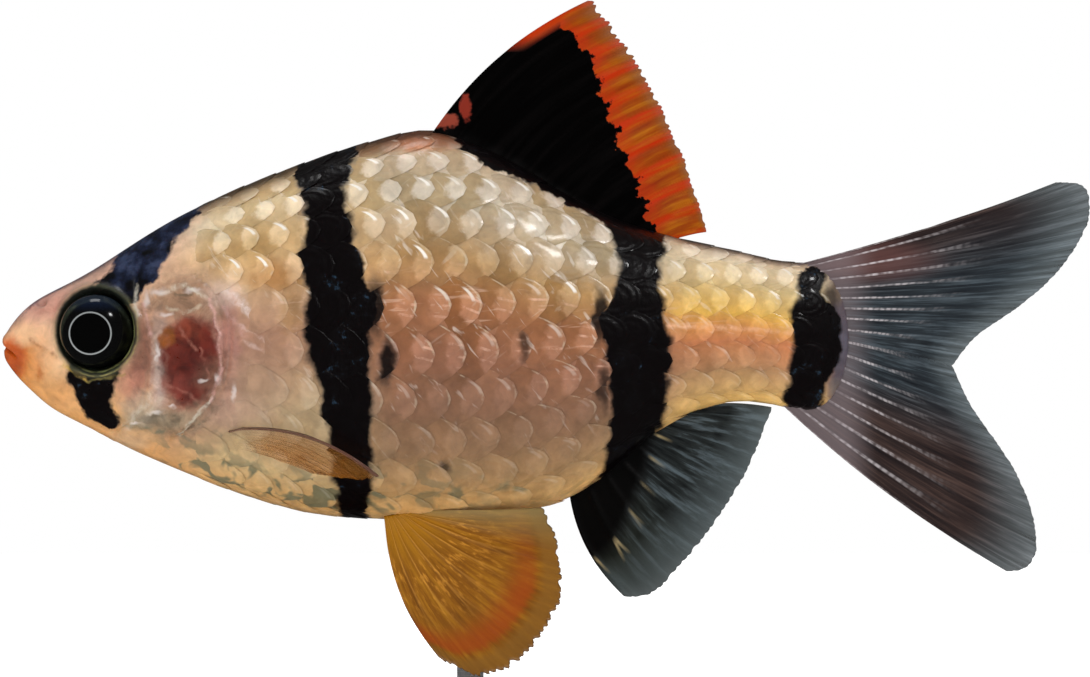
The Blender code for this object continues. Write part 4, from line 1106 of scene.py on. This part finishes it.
FIN_SINK = 0.7
DORSAL_BASE = (25.4, 39.6)
DORSAL_MARGIN = ((35.3, 20.6), (37.2, 18.1), (39.1, 14.9), (40.6, 11.5), (41.6, 8.6), (42.2, 6.62))
DORSAL_BOWS = (1.0, 0.1)
DORSAL_RAYS, DORSAL_ROWS, DORSAL_RAGGED = 11, 60, 0.02
BAND_EDGE = ((6.5, 39.1), (6.9, 38.9), (9.2, 38.2), (11.0, 37.3), (13.1, 36.5), (15.2, 35.8), (17.6, 34.9),
             (18.8, 33.7), (19.6, 32.6), (20.6, 31.4))


def fin_facts(node):
    """What a fin's shader reads: place, share across, share along, ray number, ridge."""
    place = drawing_place(node)
    span = node("Attribute", attribute_name="span", out=1)
    parts = node("SeparateXYZ", span, out=None)
    ridge = node("Attribute", attribute_name="ridge", out=2)
    return place, parts[0], parts[1], parts[2], ridge


def fin_streaks(node, parts, stretch, detail=5.0, roughness=0.65):
    """A place stretched along the rays, and the streaks there."""
    stretched = node("VectorMath", node("CombineXYZ", *parts), stretch, operation="MULTIPLY")
    return stretched, node("TexNoise", stretched, Scale=1.0, Detail=detail, Roughness=roughness)


def fin_surface(node, shader, place, along, ridge, colour, margin=None):
    """Joints across the rays and fine grain along them, as a shallow bump. margin is where
    the fin starts to thin out and how solid it still is at its edge."""
    joints = held(node, waves(node, along, RAY_JOINTS), ridge)
    grain = node("TexNoise", place, Scale=5.0, Detail=4.0)
    height = node("Math", joints, grain, operation="ADD")
    bump = node("Bump", 0.3, 0.00001, at={3: height})
    fill(shader, {"Normal": bump, "Base Color": colour})
    if margin:
        fill(shader, {"Alpha": node("MapRange", along, margin[0], 1.0, 1.0, margin[1])})


# Black pigment fills the membrane; the band is orange with redder rays, red along its
# ragged inner edge and brown and thin at the margin.
finish, node, shader = finish_named("black_and_orange_fin", Roughness=0.5, Specular_IOR_Level=0.12)
place, across, along, number, ridge = fin_facts(node)
parts = node("SeparateXYZ", place, out=None)
height = node("MapRange", parts[2], 0.0, DEPTH_SPAN)
knots = [(z / DEPTH_SPAN, x / LENGTH_SPAN) for z, x in BAND_EDGE]
line = node("FloatCurve", 1.0, height, points=knots)
line = node("Math", line, LENGTH_SPAN, operation="MULTIPLY")
past = node("Math", parts[0], line, operation="SUBTRACT")
torn = node("TexNoise", place, Scale=2.2, Detail=3.0, Roughness=0.6)
torn = node("MapRange", torn, 0.3, 0.7, -0.3, 0.3)
past = node("Math", past, torn, operation="ADD")
# The black reaches further out along each ray, as teeth.
gap = node("Math", across, DORSAL_RAYS - 1.0, operation="MULTIPLY")
gap = node("Math", gap, 0.5, operation="PINGPONG")
teeth = node("MapRange", gap, 0.0, 0.5, -0.25, 0.25)
past = node("Math", past, teeth, operation="ADD")
band = node("MapRange", past, -0.06, 0.1, **SMOOTH)
streak = fin_streaks(node, (across, along, number), (34.0, 1.3, 5.0), 4.0, 0.6)[1]
orange = node("ValToRGB", streak, stops=((0.3, "862A00"), (0.5, "964000"), (0.7, "B06408")))
inner = node("MapRange", past, 1.6, 0.0, 0.0, 0.65, **SMOOTH)
orange = lay(node, orange, "B42A00", inner)
outer = node("MapRange", along, 0.86, 1.0, 0.0, 0.6, **SMOOTH)
orange = lay(node, orange, "8A520C", outer)
unlit = node("MapRange", streak, 0.35, 0.6, 0.9, 0.35)
rays_lit = node("MapRange", gap, 0.3, 0.06, **SMOOTH)
orange = lay(node, orange, "C02A00", rays_lit, unlit)
ink = node("ValToRGB", streak, stops=((0.45, "020101"), (0.75, "0A0606")))
# A thin red strip follows the leading ray up to the tip.
strip = node("MapRange", across, 0.05, 0.02)
strip_up = node("MapRange", parts[2], 17.4, 18.4)
band = united(node, band, held(node, strip, strip_up))
colour = lay(node, ink, orange, band)
# The skin is bare and red where the first rays leave the back.
for x, z, wide, high, hue in ((26.3, 13.3, 1.0, 0.5, "98402E"), (27.7, 14.1, 0.35, 0.8, "8C2C1C")):
    far = node("Math", from_oval(node, place, (x, z), (wide, high))[0], torn, operation="ADD")
    share = node("MapRange", far, 1.2, 0.7, 0.0, 0.9, **SMOOTH)
    colour = lay(node, colour, hue, share)
fin_surface(node, shader, place, along, ridge, colour, (0.9, 0.8))

bm = new_fin()
root = edge_of_body(*DORSAL_BASE, 8, True, FIN_SINK)
rayed_sheet(bm, root, DORSAL_MARGIN, DORSAL_BOWS, DORSAL_RAYS, DORSAL_ROWS, ragged=DORSAL_RAGGED)
fin_piece(bm, "dorsal_fin_rays", finish, "fin_dorsal", "dorsal_fin")

# The tail fin
# Two lobes of forked rays fanned from the rounded end of the flesh and joined to the
# fork. Smoky blue-grey, brown along both outer edges, with bright ray bones at the root.

UPPER_LOBE_MARGIN = ((63.2, 9.6), (64.7, 9.45), (65.2, 8.5), (65.0, 7.0), (63.4, 4.4), (61.0, 2.2),
                     (58.4, 0.4), (56.9, -1.4))
UPPER_LOBE_BOWS = (-0.3, 0.0)
LOWER_LOBE_MARGIN = ((56.9, -1.4), (58.1, -3.9), (60.5, -7.4), (61.7, -10.2), (61.95, -12.4),
                     (61.4, -13.5), (60.2, -13.75))
LOWER_LOBE_BOWS = (0.0, -0.5)
TAIL_ROOT_STEPS = 12
TAIL_SINK = 1.3
TAIL_EDGE_SINK = 0.4
UPPER_LOBE_RAYS, LOWER_LOBE_RAYS, TAIL_ROWS, TAIL_RAGGED = 10, 9, 64, 0.004


def tail_end(share):
    """Where the tail fin is rooted, inside the rounded end of the flesh, from its upper
    corner (1) to its lower one (-1)."""
    turn = share * math.pi / 2
    top, bottom = section(TAIL_ROUND_START)[:2]
    high = (top - TAIL_END_LEVEL) if share > 0 else (TAIL_END_LEVEL - bottom)
    x = TAIL_ROUND_START + (BODY_LENGTH - TAIL_ROUND_START) * math.cos(turn) - TAIL_SINK
    return x, TAIL_END_LEVEL + (high - TAIL_EDGE_SINK) * math.sin(turn)


finish, node, shader = finish_named("smoky_tail_fin", Roughness=0.45, Specular_IOR_Level=0.3)
place, across, along, number, ridge = fin_facts(node)
parts = node("SeparateXYZ", place, out=None)
streak_place, streak = fin_streaks(node, (number, along, across), (30.0, 2.2, 34.0))
colour = node("ValToRGB", streak, stops=((0.3, "12171F"), (0.5, "283036"), (0.72, "525E66")))
# Brown outer edges, from the middle line of the fin outwards.
outer_edge = off_from(node, parts[2], TAIL_END_LEVEL)
spread = node("MapRange", parts[0], 49.0, 64.0, 3.6, 12.5)
outer_edge = node("Math", outer_edge, spread, operation="DIVIDE")
brown = node("MapRange", outer_edge, 0.35, 0.9, 0.0, 0.82, **SMOOTH)
soil = node("ValToRGB", streak, stops=((0.3, "1C1214"), (0.5, "34201A"), (0.72, "553626")))
colour = lay(node, colour, soil, brown)
# The trailing edge is thin, so that it looks paler and bluer.
trail = node("MapRange", along, 0.72, 1.0, 0.0, 0.65, **SMOOTH)
mist = node("ValToRGB", streak, stops=((0.3, "3A4444"), (0.5, "5C686C"), (0.72, "8A979E")))
colour = lay(node, colour, mist, trail)
# The upper edge is rusty next to the flesh.
rust = oval_share(node, place, (52.0, 4.9), (3.4, 1.1), 0.6, 0.6)
colour = lay(node, colour, "6A423E", rust)
# Bare ray bones, bright for the first third and broken up further out.
bone = node("MapRange", ridge, 0.45, 0.9, **SMOOTH)
near = node("MapRange", along, 0.7, 0.15, 0.0, 0.85, **SMOOTH)
joint = node("MapRange", waves(node, along, RAY_JOINTS), -1.0, 0.2, 0.45, 1.0)
dash_place = node("VectorMath", streak_place, (1.0, 9.0, 1.0), operation="MULTIPLY")
dash = node("TexNoise", dash_place, Scale=0.9, Detail=2.0)
dash = node("MapRange", dash, 0.38, 0.6, 0.22, 1.0)
dash = held(node, dash, joint)
colour = lay(node, colour, "D6CED0", bone, near, dash)
# A purple-brown bloom spreads over the scaly root, with the last bar's black behind it.
bloom = node("MapRange", parts[0], 52.6, 50.2, 0.0, 0.5, **SMOOTH)
colour = lay(node, colour, "85777A", bloom)
fin_surface(node, shader, place, along, ridge, colour, (0.75, 0.78))

bm = new_fin()
shares = [1 - i / TAIL_ROOT_STEPS for i in range(TAIL_ROOT_STEPS + 1)]
upper_root = [tail_end(share) for share in shares]
lower_root = [tail_end(-share) for share in reversed(shares)]
rayed_sheet(bm, upper_root, UPPER_LOBE_MARGIN, UPPER_LOBE_BOWS, UPPER_LOBE_RAYS, TAIL_ROWS,
            ragged=TAIL_RAGGED)
rayed_sheet(bm, lower_root, LOWER_LOBE_MARGIN, LOWER_LOBE_BOWS, LOWER_LOBE_RAYS, TAIL_ROWS,
            ragged=TAIL_RAGGED, first_ray=UPPER_LOBE_RAYS - 1)
bmesh.ops.remove_doubles(bm, verts=bm.verts, dist=1e-5)
fin_piece(bm, "tail_fin_rays", finish, "fin_tail", "caudal_fin_upper", "caudal_fin_lower")

# The anal fin
# Rays rooted along the rear of the belly, behind the vent. Black in front, where the
# third bar runs on into it, then smoky and greenish, with yellow ray roots.

ANAL_BASE = (33.9, 40.4)
ANAL_MARGIN = ((37.3, -15.3), (38.9, -15.1), (41.3, -12.6), (43.7, -9.3), (45.2, -6.4), (46.1, -3.9))
ANAL_BOWS = (-0.7, 0.3)
ANAL_RAYS, ANAL_ROWS = 8, 52

finish, node, shader = finish_named("black_and_grey_fin", Roughness=0.45, Specular_IOR_Level=0.3)
place, across, along, number, ridge = fin_facts(node)
streak = fin_streaks(node, (number, along, across), (24.0, 2.0, 30.0))[1]
colour = node("ValToRGB", streak, stops=((0.34, "0C1012"), (0.5, "242A2A"), (0.68, "525E64")))
fore = node("MapRange", across, 0.5, 0.1, 0.0, 0.7)
colour = lay(node, colour, "24281C", fore)
rear = node("MapRange", along, 0.6, 1.0, 0.0, 0.5)
colour = lay(node, colour, "667274", rear)
front = node("MapRange", across, 0.0, 1.0, 0.66, -0.1, clamp=False)
front = node("Math", front, along, operation="SUBTRACT")
front = node("MapRange", front, -0.08, 0.12, **SMOOTH)
colour = lay(node, colour, "060404", front)
bone = node("MapRange", ridge, 0.6, 1.0, **SMOOTH)
start = node("MapRange", across, 0.0, 1.0, 0.6, -0.1, clamp=False)
past = node("Math", along, start, operation="SUBTRACT")
rising = node("MapRange", past, -0.02, 0.04)
falling = node("MapRange", past, 0.18, 0.03)
chance = node("TexWhiteNoise", at={1: number}, noise_dimensions="1D")
chance = node("MapRange", chance, 0.2, 0.6, 0.2, 0.9)
colour = lay(node, colour, "A89468", bone, rising, falling, chance)
fin_surface(node, shader, place, along, ridge, colour, (0.8, 0.85))

bm = new_fin()
root = edge_of_body(*ANAL_BASE, 6, False, FIN_SINK)
rayed_sheet(bm, root, ANAL_MARGIN, ANAL_BOWS, ANAL_RAYS, ANAL_ROWS)
fin_piece(bm, "anal_fin_rays", finish, "fin_anal", "anal_fin")

# The pelvic fins
# A pair of broad fans under the belly, on short fleshy roots and spread outwards. Amber
# membrane with lighter rays, a red-orange band near the margin and a thin clear rim.

PELVIC_ROOT = ((22.9, -10.5), (24.4, -10.1))
PELVIC_MARGIN = ((26.3, -19.0), (28.9, -20.0), (31.3, -18.7), (33.2, -16.0), (33.5, -13.4), (32.4, -9.9))
PELVIC_BOWS = (-0.85, -0.05)
PELVIC_RAYS, PELVIC_ROWS, PELVIC_RAGGED = 9, 56, 0.024
PELVIC_SPREAD = 0.85
PELVIC_TOE = math.radians(11)
PELVIC_LEAN = math.radians(20)

finish, node, shader = finish_named("amber_fin", Roughness=0.45, Specular_IOR_Level=0.3)
place, across, along, number, ridge = fin_facts(node)
streak_place, streak = fin_streaks(node, (number, along, across), (22.0, 3.0, 26.0))
colour = node("ValToRGB", streak, stops=((0.3, "744406"), (0.5, "905808"), (0.72, "B47A18")))
root_share = node("MapRange", along, 0.4, 0.05, 0.0, 0.7, **SMOOTH)
colour = lay(node, colour, "B87E10", root_share)
band = node("MapRange", along, 0.64, 0.8, **SMOOTH)
band_end = node("MapRange", along, 0.88, 0.82, **SMOOTH)
band_side = node("MapRange", across, 0.9, 0.6, 0.1, 0.7)
colour = lay(node, colour, "A44000", band, band_end, band_side)
rim = node("MapRange", along, 0.86, 0.92, 0.0, 0.7, **SMOOTH)
colour = lay(node, colour, "906222", rim)
bone = node("MapRange", ridge, 0.7, 1.0, 0.0, 0.5, **SMOOTH)
inner = node("MapRange", along, 0.75, 0.3)
colour = lay(node, colour, "D89A46", bone, inner)
# Short golden flecks lie along the rays of the middle.
fleck_place = node("VectorMath", streak_place, (1.4, 4.0, 1.4), operation="MULTIPLY")
fleck = node("TexNoise", fleck_place, Scale=1.0, Detail=3.0, Roughness=0.6)
fleck = node("MapRange", fleck, 0.54, 0.66, 0.0, 0.75)
outward = node("MapRange", along, 0.2, 0.35)
colour = lay(node, colour, "E09A34", fleck, inner, outward)
tail_side = node("MapRange", across, 0.82, 1.0, 0.0, 0.6)
colour = lay(node, colour, "8E8458", tail_side)
fin_surface(node, shader, place, along, ridge, colour, (0.8, 0.85))

for word, side in SIDES:

    def pelvic_lift(x, z, u, v):
        out = (x - PELVIC_ROOT[0][0]) * math.tan(PELVIC_TOE)
        down = (PELVIC_ROOT[0][1] - z) * math.tan(PELVIC_LEAN)
        return side * (PELVIC_SPREAD + max(out, 0) + max(down, 0))

    bm = new_fin()
    rayed_sheet(bm, PELVIC_ROOT, PELVIC_MARGIN, PELVIC_BOWS, PELVIC_RAYS, PELVIC_ROWS, pelvic_lift,
                ragged=PELVIC_RAGGED)
    fin_piece(bm, f"pelvic_fin_rays_{word}", finish, "fin_pelvic", f"pelvic_fin_{word}")

# The pectoral fins
# A pair of clear paddles rooted behind the gill covers and held back along the flanks,
# so thin that the flank shows through, with a dark line along the leading ray.

PECTORAL_ROOT = ((13.7, -5.2), (14.2, -6.3))
PECTORAL_MARGIN = ((22.6, -8.0), (21.8, -8.2), (20.4, -8.1), (18.6, -7.8))
PECTORAL_BOWS = (1.0, 0.1)
PECTORAL_SPREAD = 1.7
PECTORAL_OFF, PECTORAL_SINK = 0.45, 0.35
PECTORAL_RAYS, PECTORAL_ROWS = 10, 48


def flank(x, z):
    """Half the body's width at this place on its side."""
    top, bottom, widest, wide, fullness = section(x)
    rise = (z - widest) / ((top - widest) if z > widest else (widest - bottom))
    power = fullness if z > widest else SECTION_POWER
    return wide * max(1 - rise * rise, 0.0) ** (power / 2)


finish, node, shader = finish_named("clear_amber_fin", Roughness=0.3, Coat_Weight=0.3, Coat_Roughness=0.15)
place, across, along, number, ridge = fin_facts(node)
streak = fin_streaks(node, (number, along, across), (22.0, 3.0, 26.0), 4.0)[1]
colour = node("ValToRGB", streak, stops=((0.3, "985A10"), (0.5, "AE6A1C"), (0.72, "C8862E")))
lead = node("MapRange", across, 0.09, 0.04, **SMOOTH)
colour = lay(node, colour, "6E4A3C", lead)
fin_surface(node, shader, place, along, ridge, colour)
solid = node("MapRange", ridge, 0.3, 1.0, 0.24, 0.42)
# The blade is clearest at its root and along its upper half.
rooted = node("MapRange", along, 0.03, 0.4, 0.1, 1.0, **SMOOTH)
lower = node("MapRange", across, 0.1, 0.65, 0.5, 1.15)
solid = held(node, solid, rooted, lower)
fill(shader, {"Alpha": united(node, solid, held(node, lead, 0.75))})

for word, side in SIDES:

    def pectoral_lift(x, z, u, v):
        free = ease(v / 0.12)
        return side * (flank(x, z) + PECTORAL_OFF * free - PECTORAL_SINK * (1 - free)
                       + PECTORAL_SPREAD * v * (1 - 0.6 * u))

    bm = new_fin()
    rayed_sheet(bm, PECTORAL_ROOT, PECTORAL_MARGIN, PECTORAL_BOWS, PECTORAL_RAYS, PECTORAL_ROWS,
                pectoral_lift)
    fin_piece(bm, f"pectoral_fin_rays_{word}", finish, "fin_pectoral", f"pectoral_fin_{word}")

# The stand
# A turned oval foot of hardwood, stained black and rubbed to a satin, with a steel rod
# pushed into a drilled socket. The rod runs up between the pelvic fins into the belly.

SHARP_FROM = math.radians(35)


def finish_solid(name, finish):
    """Gives one of the part's own solids its real finish."""
    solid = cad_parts[name]
    solid.data.materials.clear()
    solid.data.materials.append(finish)
    solid.data.shade_smooth()
    solid.data.set_sharp_from_angle(angle=SHARP_FROM)


wood, node, shader = finish_named("black_stained_hardwood", Roughness=0.34, Coat_Weight=0.2,
                                  Coat_Roughness=0.25)
here = node("TexCoord", out="Object")
place = node("VectorMath", here, (90.0, 900.0, 900.0), operation="MULTIPLY")
figure = node("TexNoise", place, Scale=1.0, Detail=6.0, Roughness=0.6, Distortion=0.8)
colour = node("ValToRGB", figure, stops=((0.3, "0E0B09"), (0.55, "1A1410"), (0.75, "2A2019")))
fill(shader, {"Base Color": colour, "Normal": node("Bump", 0.3, 0.00005, at={3: figure})})
finish_solid("stand_base", wood)

steel, node, shader = finish_named("satin_steel", Metallic=0.45, Roughness=0.45)
here = node("TexCoord", out="Object")
place = node("VectorMath", here, (500.0, 500.0, 40000.0), operation="MULTIPLY")
brushing = node("TexNoise", place, Scale=1.0, Detail=3.0)
colour = node("ValToRGB", brushing, stops=((0.3, "B4B4B6"), (0.7, "D2D2D4")))
rough = node("MapRange", brushing, 0.3, 0.7, 0.22, 0.5)
fill(shader, {"Base Color": colour, "Roughness": rough})
finish_solid("stand_rod", steel)

# The studio
# A plain white floor under a white surround, with large soft lights on both sides and a
# small one on each side that picks out the rims of the scales.

FLOOR_RADIUS = 1.2
PICTURE_WIDTH, PICTURE_HEIGHT, PICTURE_SPAN = 1090, 677, 65.4
CAMERA_LENS, CAMERA_SENSOR = 600.0, 36.0

bm = bmesh.new()
bmesh.ops.create_circle(bm, cap_ends=True, segments=96, radius=FLOOR_RADIUS)
mesh = bpy.data.meshes.new("floor")
bm.to_mesh(mesh)
bm.free()
floor = bpy.data.objects.new("floor", mesh)
bpy.context.scene.collection.objects.link(floor)
paper, node, shader = finish_named("white_paper", Roughness=0.9, Specular_IOR_Level=0.1)
here = node("TexCoord", out="Object")
away = node("VectorMath", here, operation="LENGTH", out=1)
glow = node("MapRange", away, 0.1, 0.5, 0.65, 1.0)
fibre = node("TexNoise", here, Scale=400.0, Detail=3.0)
colour = node("ValToRGB", fibre, stops=((0.2, "F4F4F4"), (0.8, "FAFAFA")))
fill(shader, {"Base Color": colour, "Emission Strength": glow, "Emission Color": (1.0, 1.0, 1.0, 1.0)})
mesh.materials.append(paper)
floor.visible_glossy = False

world = bpy.data.worlds.new("studio")
bpy.context.scene.world = world
world.use_nodes = True
node = functools.partial(add_node, world.node_tree)
ray = node("LightPath", out=None)
grey = lay(node, (0.34, 0.34, 0.34, 1.0), (0.04, 0.04, 0.04, 1.0), ray[3])
white = lay(node, grey, (1.0, 1.0, 1.0, 1.0), ray[0])
fill(world.node_tree.nodes["Background"], {"Color": white})

# Name, place, size, power, and whether its own reflection shows.
LAMPS = (
    ("key_left", (-0.1, -0.5, 0.36), 0.5, 1.1, False), ("key_right", (-0.1, 0.5, 0.36), 0.5, 1.1, False),
    ("glint_left", (0.3, -0.42, 0.42), 0.07, 0.3, True), ("glint_right", (0.3, 0.42, 0.42), 0.07, 0.3, True),
    ("top", (0.0, 0.0, 0.6), 0.4, 0.5, False), ("strip", (-0.05, 0.0, 0.55), 0.16, 0.25, True),
)
aim = Vector((0.0, 0.0, SNOUT_HEIGHT * MM))
for name, where, size, power, reflected in LAMPS:
    lamp = bpy.data.lights.new(name, "AREA")
    lamp.size = size
    lamp.energy = power
    holder = bpy.data.objects.new(name, lamp)
    bpy.context.scene.collection.objects.link(holder)
    holder.location = where
    holder.rotation_mode = "QUATERNION"
    holder.rotation_quaternion = (aim - Vector(where)).to_track_quat("-Z", "Y")
    holder.visible_glossy = reflected

camera_data = bpy.data.cameras.new("camera")
camera_data.lens = CAMERA_LENS
camera_data.sensor_width = CAMERA_SENSOR
camera_data.clip_start, camera_data.clip_end = 0.01, 10.0
camera = bpy.data.objects.new("camera", camera_data)
bpy.context.scene.collection.objects.link(camera)
low, high = solid_bounds
middle_x = (low.x + high.x) / 2
middle_z = high.z - PICTURE_SPAN * MM * PICTURE_HEIGHT / PICTURE_WIDTH / 2
camera.location = (middle_x, -PICTURE_SPAN * MM * CAMERA_LENS / CAMERA_SENSOR, middle_z)
camera.rotation_euler = (math.radians(90), 0.0, 0.0)
bpy.context.scene.camera = camera
bpy.context.scene.view_settings.view_transform = "Standard"
